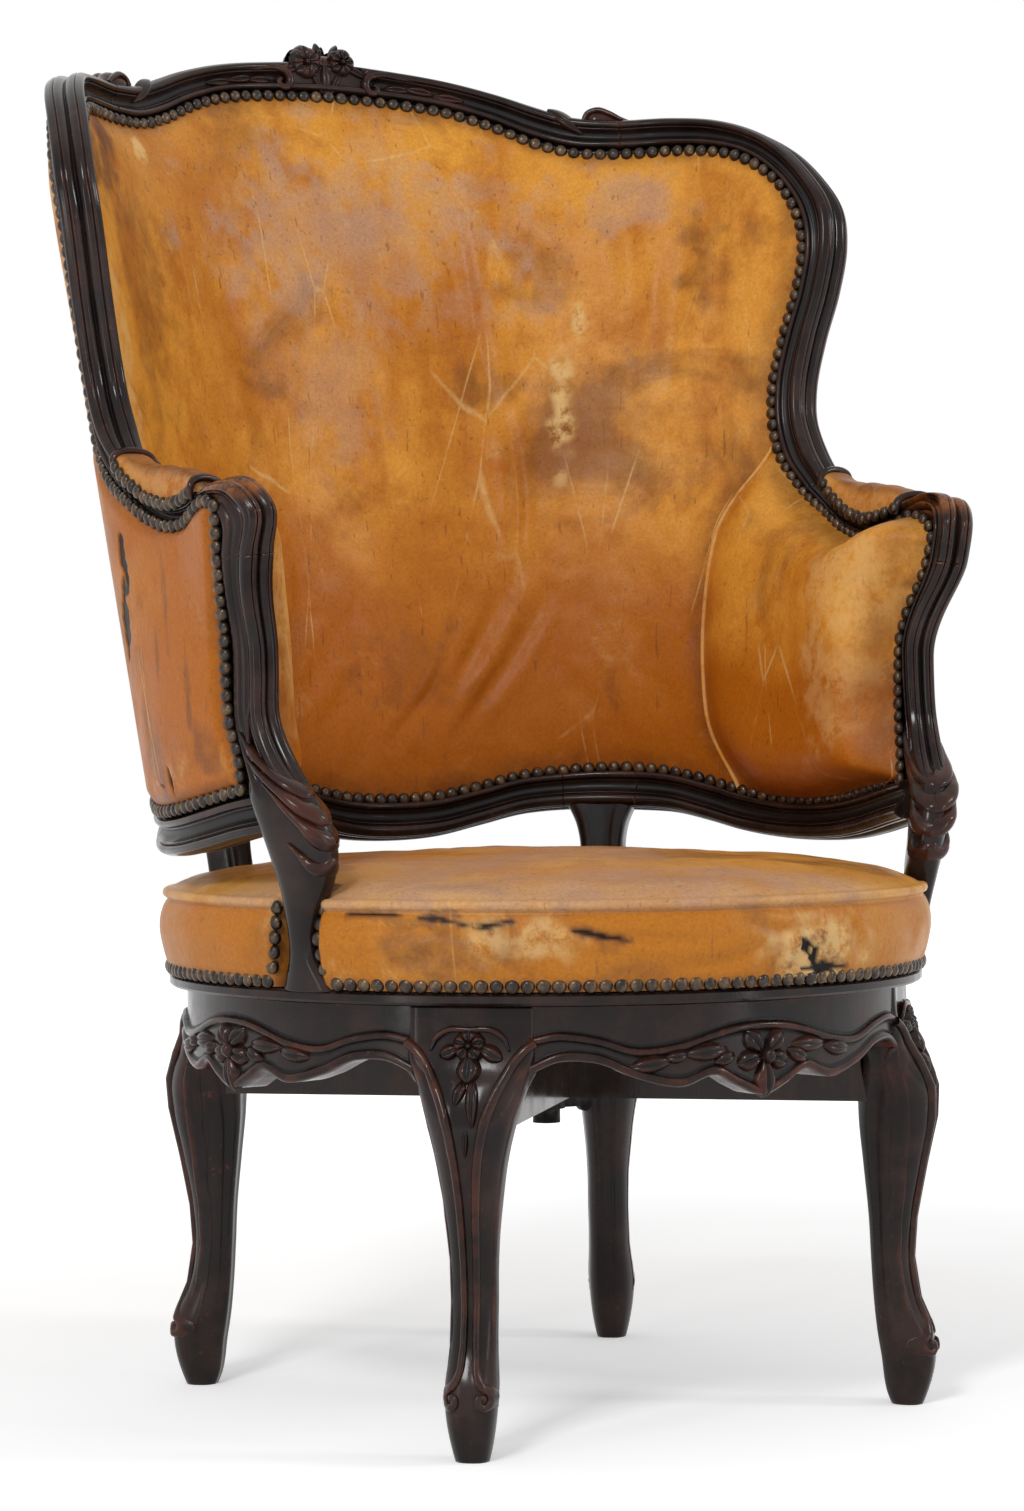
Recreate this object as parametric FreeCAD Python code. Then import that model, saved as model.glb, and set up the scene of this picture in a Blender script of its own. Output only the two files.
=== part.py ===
"""Swivel desk armchair: a round seat and a wrap-round back that turn on a base with four cabriole legs.

Millimetres. The origin is on the floor at the swivel axis, +Z is up and the chair faces -Y.
The base is built with a leg at the front and turned into place. The back and arms lie on one flared,
raked surface: a place on it is an angle from the rear centre, towards +X, and a height above the underside
of the seat rail.
"""
import FreeCAD, Part
import math
import os
from FreeCAD import Vector

os.makedirs("parts", exist_ok=True)

# Base
BASE_TURN = 6.3            # degrees that the legs stand turned from square to the seat
LEG_HEIGHT = 283.0         # from the floor to the leg blocks
LEG_BLOCK_HEIGHT = 48.0
BASE_OUTER_RADIUS = 286.0
BASE_WALL = 26.0           # thickness of aprons and leg blocks
LEG_BLOCK_HALF_ANGLE = 9.0
APRON_BEAD = 5.0           # how far the carved mouldings stand out
APRON_BEAD_EDGE = 7.0      # slope of the moulding edge
APRON_FLOWER = 9.0         # how far the apron flowers stand out
APRON_FLOWER_SHARE = 0.2   # share of the half span that the flower takes

# Legs: height as drawn, inner and outer face from the outer radius of the base, width
LEG_STATIONS = [
    (0.0, -10.0, 14.0, 25.0),
    (6.0, -12.5, 16.5, 28.0),
    (40.0, -18.0, 24.0, 38.0),
    (52.0, -20.0, 23.0, 39.0),
    (83.0, -23.5, 10.0, 36.0),
    (115.0, -25.5, 5.0, 36.0),
    (146.0, -27.0, 7.0, 37.0),
    (190.0, -31.0, 15.0, 45.0),
    (225.0, -34.0, 22.0, 56.0),
    (250.0, -34.0, 23.0, 69.0),
    (272.0, -31.0, 16.0, 84.0),
    (283.0, -28.0, 8.0, 93.0),
]

# Apron: share of the half span, lower edge and upper edge of the carving below the base top
APRON_STATIONS = [
    (0.0, 70.0, 15.0),
    (0.11, 63.0, 16.0),
    (0.22, 53.5, 20.0),
    (0.38, 61.0, 28.0),
    (0.56, 54.0, 31.0),
    (0.74, 41.5, 22.0),
    (0.88, 41.0, 19.0),
    (1.0, 50.0, 23.0),
]

# Cross bars and pivot
BAR_WIDTH = 46.0
BAR_HEIGHT = 44.0
BASE_BAR_DEPTH = 92.0      # underside of the cross bars below the base top
SEAT_BAR_HEIGHT = 28.0
PIVOT_PLATE_RADIUS = 42.0
FLANGE_RADIUS = 50.0
PLATE_THICK = 4.0
SPINDLE_RADIUS = 11.0
SHOULDER_RADIUS = 19.0
SPINDLE_TAIL = 22.0        # length of the spindle below the cross bars
BAR_BORE_GAP = 1.0         # radial gap of the spindle in the cross bars
SCREW_RING = 0.7           # screw ring as a share of the plate radius
RUNNING_FIT = 0.06         # radial gap of spindle in plate, washer and nut
LIFT = 0.1                 # gap under the spindle shoulder and above the washer
SCREW_COUNT = 4
SCREW_RADIUS = 2.2
SCREW_HEAD_RADIUS = 4.4
SCREW_LENGTH = 22.0
WASHER_RADIUS = 19.0
WASHER_THICK = 2.5
NUT_RADIUS = 15.0
NUT_HEIGHT = 8.0
WING_REACH = 34.0          # wing tip from the axis
WING_TIP_RADIUS = 6.0
WING_THICK = 6.0

# Seat
TURN_GAP = 1.0             # gap between base and seat rail
SEAT_OVERHANG = 14.0       # how far the seat rail stands out over the base
RAIL_LIP_WIDTH = 13.0      # width of the moulding below the leather
RAIL_WALL = 27.0           # thickness of the rail behind the leather
RAIL_LIP = 9.0             # height of the moulding below the leather
RAIL_LIP_ROUND = 2.0
SEAT_RAIL_HEIGHT = 40.0
STRAP_COUNT = 4
STRAP_PITCH = 118.0
STRAP_WIDTH = 58.0
STRAP_THICK = 2.0
STRAP_BEARING = 14.0       # length of strap on the rail
SOFT_GAP = 0.4             # clearance of soft pieces
BORDER_SETBACK = 1.0       # foot of the seat leather from the edge of the moulding
BORDER_SWELL = 9.0         # how far the seat border swells out
BORDER_HEIGHT = 62.0       # from the rail moulding to the piping
PIPING_SETBACK = 3.0       # piping stands out from the border foot
PIPING_RADIUS = 3.0
SEAT_CROWN = 32.0          # rise of the seat from its piping to the middle

# Flared surface of the back, with heights from the underside of the seat rail
BACK_BASE = 123.0          # height at which the surface has its base radius
BACK_SETBACK = 6.0         # base radius of the surface from the edge of the seat rail
BACK_FLARE = 0.128         # growth of the radius for each mm of height
BACK_RAKE = 0.068          # backward lean of the centre for each mm of height
WING_TUCK = 6.0            # how far the wing corners lean in from the surface
WING_TUCK_ANGLES = (45.0, 65.0)
WING_TUCK_HEIGHTS = (628.0, 708.0)
ARM_PINCH = 12.0           # how far the arms run inside the surface
ARM_PINCH_ANGLES = (70.0, 92.0)
ARM_PINCH_LOW = (168.0, 348.0)
ARM_PINCH_HIGH = (428.0, 568.0)
ARM_FLARE = 30.0           # how far the arm fronts turn out again
ARM_FLARE_ANGLES = (96.0, 118.0)
ARM_FLARE_HEIGHTS = (258.0, 338.0)
ARM_FLARE_FLOOR = 0.25     # share of the flare kept below the arms

# Frame section
FRAME_HALF = 16.0          # half the thickness of the back frame
FRAME_ROUND = 7.0
FRAME_SLOPE = 4.0          # slope from the nailed edge up to the moulding
TONGUE = 12.0              # width of wood under the leather edge
TONGUE_HALF = 8.0
ELBOW_TONGUE = 5.0         # the same from the elbow down
BARE_TONGUE = 1.0          # tongue where no leather is nailed

# Frame lines: nailed edge (angle, height), then free edge (angle, height)
CREST_LINE = [
    (0.0, 764.0, 0.0, 794.0),
    (9.5, 761.0, 9.0, 790.5),
    (17.5, 754.0, 17.5, 782.5),
    (24.0, 741.5, 24.5, 771.0),
    (30.0, 726.0, 30.0, 759.0),
    (35.5, 717.0, 35.0, 749.0),
    (42.3, 714.5, 42.3, 744.0),
]
WING_LINE = [
    (42.3, 714.5, 42.3, 744.0),
    (50.0, 714.5, 50.0, 743.5),
    (56.0, 711.5, 57.0, 738.0),
    (61.0, 704.5, 63.0, 726.0),
    (65.0, 692.0, 68.5, 707.0),
    (68.5, 674.0, 73.0, 682.0),
    (71.2, 649.0, 76.5, 653.0),
    (72.6, 617.0, 77.5, 618.0),
    (71.8, 580.0, 76.5, 578.0),
    (69.6, 539.0, 74.4, 536.0),
    (68.0, 496.0, 73.1, 493.0),
    (68.4, 459.0, 73.6, 465.0),
    (70.6, 428.0, 76.0, 438.0),
    (75.5, 400.0, 79.5, 415.0),
]
ARM_LINE = [
    (75.5, 400.0, 79.5, 415.0),
    (81.0, 383.0, 83.5, 397.0),
    (87.5, 365.5, 89.5, 380.0),
    (94.5, 356.5, 95.5, 373.0),
    (99.5, 358.5, 100.5, 375.5),
    (104.0, 368.0, 105.0, 382.0),
    (107.0, 371.5, 109.5, 387.0),
    (110.0, 367.5, 114.5, 383.0),
    (111.0, 356.0, 117.5, 366.0),
    (110.2, 330.0, 116.2, 330.0),
]
ELBOW_START = 6            # station from which the arm turns down
ARM_CORNER = 7             # station at the upper front corner of the arm leather

# Arm support: height, rear angle, front angle, extra offset outward, half thickness
SUPPORT_STATIONS = [
    (288.0, 108.0, 113.2, 0.0, 12.5),
    (243.0, 107.2, 112.5, 0.0, 12.0),
    (208.0, 107.3, 112.6, 2.0, 12.0),
    (179.0, 108.7, 115.2, 4.0, 13.0),
    (153.0, 109.8, 119.5, 8.0, 14.0),
    (128.0, 111.4, 122.0, 8.0, 15.0),
    (108.0, 112.4, 122.2, 7.0, 15.0),
    (86.0, 113.0, 120.6, 5.0, 14.0),
    (63.0, 113.0, 118.0, 4.0, 12.0),
    (38.0, 112.6, 117.0, 3.0, 11.0),
]
SUPPORT_FOOT = (110.5, 119.5, 3.0, 12.0)
SUPPORT_TONGUE_END = 168.0
SUPPORT_SHEAR = 0.55       # the nailed edge lies further forward inside than outside
ARM_HALF = 13.5

# Lower rail: angle, nailed edge, lower edge
LOWER_RAIL_LINE = [
    (0.0, 139.0, 105.0),
    (9.0, 141.5, 108.0),
    (17.0, 150.0, 117.5),
    (24.0, 158.5, 126.5),
    (31.0, 162.5, 130.0),
    (37.5, 165.0, 130.5),
    (44.0, 165.0, 129.5),
    (50.0, 162.5, 127.5),
    (57.0, 155.0, 119.5),
    (64.0, 146.0, 111.0),
    (71.0, 140.0, 106.5),
    (79.0, 138.0, 105.0),
    (88.0, 141.0, 107.0),
    (97.0, 148.0, 113.0),
    (105.0, 155.0, 120.0),
    (112.0, 160.0, 125.0),
]
POST_START = 4             # the post block takes the rail between these stations
POST_END = 6
SEAM_STATION = 9           # the seam of the inside leather meets the rail here
RAIL_HALF = 18.0

# Rear posts
POST_ANGLE = 37.5
POST_WIDTH = 39.0
POST_HALF = 14.0
POST_FLARE_WIDTH = 66.0
POST_FLARE = 24.0          # length of the flare
POST_NECK = 40.0           # straight length below the flare
POST_ENTRY = 7.5           # how far the column runs into its rail block

# Ornament
FLOWER_HALF_ANGLE = 9.0
FLOWER_RISE = 18.0         # top of the flower above the free edge of the crest
FLOWER_ROOT = 12.0         # foot of the flower above the nailed edge of the crest
FLOWER_HALF = 22.0
SCROLL_ANGLE = 38.6
SCROLL_RISE = 8.0          # middle of the shoulder scrolls above the free edge at the wing joint
SCROLL_RADIUS = 10.5
SCROLL_HALF = 17.0

# Upholstery of the back
EDGE_INSET = 4.0           # leather edge inside the nailed line
EDGE_RISE = 5.0            # thickness of the pads at their nailed edge
BACK_CROWN = 30.0
ARM_CROWN = 22.0
COVER_THICK = 8.0
COVER_LIFT = 1.2           # gap of the outside covers over the frame, which is straight where they curve
SEAM_LINE = [(64.0, 146.0), (60.5, 188.0), (58.6, 243.0), (58.6, 308.0), (60.6, 368.0), (64.0, 406.0)]
SEAM_TOP = (67.6, 430.0)
PANEL_GAP = 0.5            # degrees between neighbouring leather panels
PANEL_CORNER = 5.5         # degrees from the end of the seam to the upper corner of the arm panel
INSIDE_SHIFT = 0.65        # front edge of the inside arm leather, as a share of the shear
OUTSIDE_SHIFT = 1.35       # the same of the outside arm leather
PANEL_ROWS = 19
PANEL_COLUMNS = 21
CORNER = 4                 # wing station at the upper corner of the inside back
WING_WAIST = 11            # wing station above which the inside back reaches the wing

# Arm pads: angle, rise of the crown above the arm
PAD_STATIONS = [(80.6, 6.0), (84.0, 14.0), (90.0, 24.0), (96.5, 28.0), (101.5, 20.0), (104.5, 8.0)]
PAD_HALF = 21.0
PAD_SIDE = 4.0             # height of the pad side at its nailed edge

# Derived radii and heights
BASE_INNER_RADIUS = BASE_OUTER_RADIUS - BASE_WALL
SEAT_RAIL_OUTER = BASE_OUTER_RADIUS + SEAT_OVERHANG
SEAT_RABBET_RADIUS = SEAT_RAIL_OUTER - RAIL_LIP_WIDTH
SEAT_RAIL_INNER = SEAT_RABBET_RADIUS - RAIL_WALL
BORDER_FOOT_RADIUS = SEAT_RAIL_OUTER - BORDER_SETBACK
BACK_RADIUS = SEAT_RAIL_OUTER - BACK_SETBACK
POST_TOP = LOWER_RAIL_LINE[POST_START + 1][2] + POST_ENTRY
POST_FLARE_START = POST_TOP - POST_FLARE
BASE_TOP = LEG_HEIGHT + LEG_BLOCK_HEIGHT
BASE_BAR_BOTTOM = BASE_TOP - BASE_BAR_DEPTH
SEAT_BOTTOM = BASE_TOP + TURN_GAP
LIP_TOP = SEAT_BOTTOM + RAIL_LIP
SEAT_RAIL_TOP = SEAT_BOTTOM + SEAT_RAIL_HEIGHT
STRAP_TOP = SEAT_RAIL_TOP + 2.0 * STRAP_THICK + SOFT_GAP
PIPING_HEIGHT = LIP_TOP + BORDER_HEIGHT
BAR_TOP = BASE_BAR_BOTTOM + BAR_HEIGHT
PLATE_TOP = BAR_TOP + PLATE_THICK
SEAT_BAR_TOP = SEAT_RAIL_TOP - STRAP_THICK
SEAT_BAR_BOTTOM = SEAT_BAR_TOP - SEAT_BAR_HEIGHT
FLANGE_BOTTOM = SEAT_BAR_BOTTOM - PLATE_THICK
WASHER_TOP = BASE_BAR_BOTTOM - LIFT
NUT_TOP = WASHER_TOP - WASHER_THICK
SPINDLE_BOTTOM = BASE_BAR_BOTTOM - SPINDLE_TAIL
ORIGIN = Vector(0, 0, 0)
UP = Vector(0, 0, 1)


def export(shape, name):
    """Writes one piece and says how large it is."""
    if not shape.isValid():
        print("not valid:", name)
    shape.exportStep("parts/" + name + ".step")
    print(name, "solids", len(shape.Solids), "volume", round(shape.Volume))


def export_pair(shape, name):
    """Writes the piece on the +X side and its mirror image."""
    export(shape, name + "_right")
    export(shape.mirror(ORIGIN, Vector(1, 0, 0)), name + "_left")


def ease(value, limits):
    """Eases from 0 to 1 as a value passes between two limits."""
    share = (value - limits[0]) / (limits[1] - limits[0])
    share = max(0.0, min(1.0, share))
    return share * share * (3.0 - 2.0 * share)


def back_point(angle, height, offset=0.0):
    """A point on the flared surface of the back, moved outward by the offset."""
    side = abs(angle)
    tuck = WING_TUCK * ease(side, WING_TUCK_ANGLES) * ease(height, WING_TUCK_HEIGHTS)
    pinch = ARM_PINCH * ease(side, ARM_PINCH_ANGLES) * ease(height, ARM_PINCH_LOW)
    pinch = pinch * (1.0 - ease(height, ARM_PINCH_HIGH))
    raised = ARM_FLARE_FLOOR + (1.0 - ARM_FLARE_FLOOR) * ease(height, ARM_FLARE_HEIGHTS)
    flare = ARM_FLARE * ease(side, ARM_FLARE_ANGLES) * raised
    rise = height - BACK_BASE
    radius = BACK_RADIUS + BACK_FLARE * rise - tuck - pinch + flare + offset
    turn = math.radians(angle)
    return Vector(radius * math.sin(turn), BACK_RAKE * rise + radius * math.cos(turn), SEAT_BOTTOM + height)


def polygon(points):
    return Part.makePolygon(list(points) + [points[0]])


def loft(sections):
    """A smooth solid through closed outlines."""
    return Part.makeLoft([polygon(section) for section in sections], True, False)


def ruled_loft(sections):
    """A solid with straight lines from each outline to the next, for tight bends."""
    return Part.makeLoft([polygon(section) for section in sections], True, True)


def refined(stations):
    """The stations with a smooth halfway one between each two."""
    last = len(stations) - 1
    result = []
    for index in range(last):
        before = stations[max(index - 1, 0)]
        here = stations[index]
        after = stations[index + 1]
        beyond = stations[min(index + 2, last)]
        result.append(here)
        result.append(tuple((9.0 * (p + q) - r - s) / 16.0 for p, q, r, s in zip(here, after, before, beyond)))
    return result + [stations[last]]


def frame_section(line, half, tongue, extra=0.0, grow=0.0, shear=0.0):
    """The outline of a frame member across its length, from nailed edge to free edge.

    The extra offset moves the member out from the back surface, but not the tongue under the leather.
    The shear moves the inner side of the nailed edge towards the free edge, and the outer side away from it.
    """
    inner = back_point(line[0], line[1], extra)
    outer = back_point(line[2], line[3], extra)
    across = outer - inner
    width = across.Length + grow
    across.normalize()
    turn = math.radians(0.5 * (line[0] + line[2]))
    normal = Vector(math.sin(turn), math.cos(turn), -BACK_FLARE)
    normal = normal - across * normal.dot(across)
    normal.normalize()
    half = half + grow
    tongue_half = min(TONGUE_HALF, half - FRAME_SLOPE)
    tongue_in = max(-tongue_half - extra, -half)
    tongue_out = tongue_half - extra
    corner = min(FRAME_ROUND, 0.45 * half)
    outline = [
        (-tongue - grow + shear * tongue_half, tongue_in),
        (-grow + shear * tongue_half, tongue_in),
        (FRAME_SLOPE + shear * half, -half),
        (width - corner, -half),
        (width, corner - half),
        (width, half - corner),
        (width - corner, half),
        (FRAME_SLOPE - shear * half, half),
        (-grow - shear * tongue_half, tongue_out),
        (-tongue - grow - shear * tongue_half, tongue_out),
    ]
    return [inner + across * a + normal * b for a, b in outline]


def mirrored(line):
    """The same stations on the other side, in the opposite order, without the middle one."""
    return [(-a, b, -c, d) for a, b, c, d in reversed(line[1:])]


def revolve(profile, start, sweep):
    """Turns a closed profile of (radius, height) points round the swivel axis."""
    face = Part.Face(polygon([Vector(r, 0, z) for r, z in profile]))
    face.rotate(ORIGIN, UP, start)
    return face.revolve(ORIGIN, UP, sweep)


def cylinder(radius, low, high, x=0.0, y=0.0):
    return Part.makeCylinder(radius, high - low, Vector(x, y, low), UP)


# Base


def leg_section(height, inner, outer, width):
    """A square with softened corners, one corner outward: points at the front of the base."""
    depth = outer - inner
    half = 0.5 * width
    outline = [
        (inner, 0.55 * half),
        (inner + 0.45 * depth, half),
        (outer - 0.30 * depth, 0.92 * half),
        (outer, 0.30 * half),
    ]
    sides = outline + [(r, -t) for r, t in reversed(outline)]
    return [Vector(t, -r, height) for r, t in sides]


def make_leg():
    """Cabriole leg with its block between the aprons."""
    stretch = LEG_HEIGHT / LEG_STATIONS[-1][0]
    shaft = loft([leg_section(stretch * height, BASE_OUTER_RADIUS + inner, BASE_OUTER_RADIUS + outer, width)
                  for height, inner, outer, width in LEG_STATIONS])
    profile = [(BASE_INNER_RADIUS, LEG_HEIGHT), (BASE_OUTER_RADIUS, LEG_HEIGHT),
               (BASE_OUTER_RADIUS, BASE_TOP), (BASE_INNER_RADIUS, BASE_TOP)]
    block = revolve(profile, -90.0 - LEG_BLOCK_HALF_ANGLE, 2.0 * LEG_BLOCK_HALF_ANGLE)
    return shaft.fuse(block).removeSplitter()


def apron_section(angle, low, high, bead):
    """Radial outline of the apron with its carved face."""
    outline = [
        (BASE_INNER_RADIUS, low),
        (BASE_OUTER_RADIUS, low),
        (BASE_OUTER_RADIUS + bead, low + APRON_BEAD_EDGE),
        (BASE_OUTER_RADIUS + bead, high - APRON_BEAD_EDGE),
        (BASE_OUTER_RADIUS, high),
        (BASE_OUTER_RADIUS, BASE_TOP),
        (BASE_INNER_RADIUS, BASE_TOP),
    ]
    turn = math.radians(angle)
    return [Vector(r * math.sin(turn), -r * math.cos(turn), z) for r, z in outline]


def make_apron():
    """Serpentine apron with a flower at its middle, between two leg blocks."""
    span = 45.0 - LEG_BLOCK_HALF_ANGLE
    sections = []
    for side in (-1.0, 1.0):
        stations = APRON_STATIONS if side > 0 else APRON_STATIONS[:0:-1]
        for share, low, high in stations:
            bead = APRON_FLOWER if share < APRON_FLOWER_SHARE else APRON_BEAD
            sections.append(apron_section(side * share * span, BASE_TOP - low, BASE_TOP - high, bead))
    return loft(sections)


def half_lap(length, width, low, height, upper):
    """A bar along X with the upper or lower half cut away where it crosses its twin."""
    bar = Part.makeBox(length, width, height, Vector(-0.5 * length, -0.5 * width, low))
    start = low + 0.5 * height if upper else low
    return bar.cut(Part.makeBox(width, width, 0.5 * height, Vector(-0.5 * width, -0.5 * width, start)))


def screws(radius, low, high, head_low):
    """A ring of wood screws with countersunk heads, at the given end."""
    group = []
    for index in range(SCREW_COUNT):
        turn = 2.0 * math.pi * (index + 0.5) / SCREW_COUNT
        x = radius * math.cos(turn)
        y = radius * math.sin(turn)
        shank = cylinder(SCREW_RADIUS, low, high, x, y)
        depth = SCREW_HEAD_RADIUS - SCREW_RADIUS
        if head_low:
            head = Part.makeCone(SCREW_HEAD_RADIUS, SCREW_RADIUS, depth, Vector(x, y, low), UP)
        else:
            head = Part.makeCone(SCREW_RADIUS, SCREW_HEAD_RADIUS, depth, Vector(x, y, high - depth), UP)
        group.append(shank.fuse(head).removeSplitter())
    return Part.makeCompound(group)


def turn_base(shape, angle):
    return shape.rotated(ORIGIN, UP, BASE_TURN + angle)


leg = make_leg()
LEG_NAMES = {"front_left": -45.0, "front_right": 45.0, "rear_right": 135.0, "rear_left": 225.0}
legs = {name: turn_base(leg, angle) for name, angle in LEG_NAMES.items()}
for name, shape in legs.items():
    export(shape, "leg_" + name)

apron = make_apron().cut(Part.makeCompound([leg.rotated(ORIGIN, UP, 45.0), leg.rotated(ORIGIN, UP, -45.0)]))
APRON_NAMES = {"front": 0.0, "right": 90.0, "rear": 180.0, "left": 270.0}
for name, angle in APRON_NAMES.items():
    export(turn_base(apron, angle), "apron_" + name)

plate_screws = screws(SCREW_RING * PIVOT_PLATE_RADIUS, PLATE_TOP - SCREW_LENGTH, PLATE_TOP, False)
bar_bore = cylinder(SPINDLE_RADIUS + BAR_BORE_GAP, BASE_BAR_BOTTOM, BAR_TOP)
all_legs = Part.makeCompound(list(legs.values()))
for name, angle, upper in (("long", 45.0, True), ("short", -45.0, False)):
    bar = half_lap(2.0 * BASE_INNER_RADIUS, BAR_WIDTH, BASE_BAR_BOTTOM, BAR_HEIGHT, upper)
    bar = turn_base(bar, angle).cut(bar_bore).cut(plate_screws).cut(all_legs)
    export(bar, "base_bar_" + name)

pivot_plate = cylinder(PIVOT_PLATE_RADIUS, BAR_TOP, PLATE_TOP)
pivot_plate = pivot_plate.cut(cylinder(SPINDLE_RADIUS + RUNNING_FIT, BAR_TOP, PLATE_TOP)).cut(plate_screws)
export(pivot_plate, "pivot_plate")
export(plate_screws, "pivot_plate_screws")

# Pivot

flange_screws = screws(SCREW_RING * FLANGE_RADIUS, FLANGE_BOTTOM, FLANGE_BOTTOM + SCREW_LENGTH, True)
spindle = cylinder(SPINDLE_RADIUS, SPINDLE_BOTTOM, SEAT_BAR_BOTTOM)
spindle = spindle.fuse(cylinder(SHOULDER_RADIUS, PLATE_TOP + LIFT, SEAT_BAR_BOTTOM))
spindle = spindle.fuse(cylinder(FLANGE_RADIUS, FLANGE_BOTTOM, SEAT_BAR_BOTTOM)).removeSplitter()
export(spindle.cut(flange_screws), "spindle")
export(flange_screws, "spindle_screws")

nut_bore = cylinder(SPINDLE_RADIUS + RUNNING_FIT, SPINDLE_BOTTOM - NUT_HEIGHT, BAR_TOP)
export(cylinder(WASHER_RADIUS, NUT_TOP, WASHER_TOP).cut(nut_bore), "washer")
nut = cylinder(NUT_RADIUS, NUT_TOP - NUT_HEIGHT, NUT_TOP)
for side in (-1.0, 1.0):
    wing = Part.makeBox(WING_REACH, WING_THICK, NUT_HEIGHT, Vector(0, -0.5 * WING_THICK, NUT_TOP - NUT_HEIGHT))
    tip = Part.makeCylinder(WING_TIP_RADIUS, WING_THICK,
                            Vector(WING_REACH, -0.5 * WING_THICK, NUT_TOP - WING_TIP_RADIUS), Vector(0, 1, 0))
    wing = wing.fuse(tip).mirror(ORIGIN, Vector(1, 0, 0)) if side < 0 else wing.fuse(tip)
    nut = nut.fuse(wing)
export(nut.cut(nut_bore).removeSplitter(), "wing_nut")

# Back frame


def support_sections(grow):
    """Outlines of the arm support from the arm joint down to its foot on the seat rail."""
    sections = [frame_section(ARM_LINE[-1], ARM_HALF, ELBOW_TONGUE, 0.0, grow, SUPPORT_SHEAR)]
    for height, rear, front, extra, half in SUPPORT_STATIONS:
        nailed = height > SUPPORT_TONGUE_END
        tongue = ELBOW_TONGUE if nailed else BARE_TONGUE
        shear = SUPPORT_SHEAR if nailed else 0.0
        sections.append(frame_section((rear, height, front, height), half, tongue, extra, grow, shear))
    rear, front, extra, half = SUPPORT_FOOT
    sections.append(frame_section((rear, RAIL_LIP, front, RAIL_LIP), half, BARE_TONGUE, extra, grow))
    return sections


def post_column(grow):
    """Rear post from the seat rail up to its flared top."""
    sections = []
    heights = ((RAIL_LIP, POST_WIDTH), (POST_FLARE_START - POST_NECK, POST_WIDTH),
               (POST_FLARE_START, POST_WIDTH),
               (0.5 * (POST_FLARE_START + POST_TOP), 0.35 * POST_FLARE_WIDTH + 0.65 * POST_WIDTH),
               (POST_TOP, POST_FLARE_WIDTH))
    half = POST_HALF + grow
    for height, width in heights:
        swing = math.degrees((0.5 * width + grow) / BACK_RADIUS)
        corners = ((-swing, -half), (swing, -half), (swing, half), (-swing, half))
        sections.append([back_point(POST_ANGLE + turn, height, offset) for turn, offset in corners])
    return loft(sections)


def rail_sections(stations):
    return [frame_section((a, top, a, low), RAIL_HALF, TONGUE) for a, top, low in stations]


wing_stations = [line + (FRAME_HALF,) for line in WING_LINE[:-1]] + [WING_LINE[-1] + (ARM_HALF,)]
wing = loft([frame_section(station[:4], station[4], TONGUE) for station in refined(wing_stations)])
export_pair(wing, "wing")

arm_stations = [line + (TONGUE, 0.0) for line in ARM_LINE[:ELBOW_START]]
arm_stations = arm_stations + [line + (ELBOW_TONGUE, SUPPORT_SHEAR) for line in ARM_LINE[ELBOW_START:]]
arm = ruled_loft([frame_section(station[:4], ARM_HALF, station[4], shear=station[5])
                  for station in refined(arm_stations)])
export_pair(arm, "arm")

support = loft(support_sections(0.0))
export_pair(support, "arm_support")

crest_stations = mirrored(CREST_LINE) + CREST_LINE
crest = loft([frame_section(line, FRAME_HALF, TONGUE) for line in crest_stations])
flower = []
for share in (-1.0, -0.6, 0.0, 0.6, 1.0):
    root = CREST_LINE[0][1] + FLOWER_ROOT
    top = CREST_LINE[0][3] + FLOWER_RISE * (1.0 - share ** 2)
    place = share * FLOWER_HALF_ANGLE
    flower.append(frame_section((place, root, place, top), FLOWER_HALF, BARE_TONGUE))
crest = crest.fuse(loft(flower))
for side in (-1.0, 1.0):
    turn = math.radians(side * SCROLL_ANGLE)
    start = back_point(side * SCROLL_ANGLE, CREST_LINE[-1][3] + SCROLL_RISE, -SCROLL_HALF)
    crest = crest.fuse(Part.makeCylinder(SCROLL_RADIUS, 2.0 * SCROLL_HALF, start,
                                         Vector(math.sin(turn), math.cos(turn), 0)))
export(crest.removeSplitter(), "crest_rail")

post = loft(rail_sections(LOWER_RAIL_LINE[POST_START:POST_END + 1])).fuse(post_column(0.0)).removeSplitter()
export_pair(post, "rear_post")
side_rail = loft(rail_sections(LOWER_RAIL_LINE[POST_END:])).cut(support)
export_pair(side_rail, "lower_rail")
centre_line = LOWER_RAIL_LINE[:POST_START + 1]
centre_stations = [(-a, top, low) for a, top, low in reversed(centre_line[1:])] + centre_line
export(loft(rail_sections(centre_stations)), "lower_rail_back")

# Seat


def both_sides(shape):
    return [shape, shape.mirror(ORIGIN, Vector(1, 0, 0))]


uprights = Part.makeCompound(both_sides(support) + both_sides(post))
clear_uprights = Part.makeCompound(both_sides(loft(support_sections(SOFT_GAP))) + both_sides(post_column(SOFT_GAP)))

rail_profile = [
    (SEAT_RAIL_INNER, SEAT_BOTTOM),
    (SEAT_RAIL_OUTER - RAIL_LIP_ROUND, SEAT_BOTTOM),
    (SEAT_RAIL_OUTER, SEAT_BOTTOM + RAIL_LIP_ROUND),
    (SEAT_RAIL_OUTER, LIP_TOP - RAIL_LIP_ROUND),
    (SEAT_RAIL_OUTER - RAIL_LIP_ROUND, LIP_TOP),
    (SEAT_RABBET_RADIUS, LIP_TOP),
    (SEAT_RABBET_RADIUS, SEAT_RAIL_TOP),
    (SEAT_RAIL_INNER, SEAT_RAIL_TOP),
]
RAIL_NAMES = {"front": -135.0, "right": -45.0, "rear": 45.0, "left": 135.0}
for name, start in RAIL_NAMES.items():
    export(revolve(rail_profile, start, 90.0).cut(uprights), "seat_rail_" + name)

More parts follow.
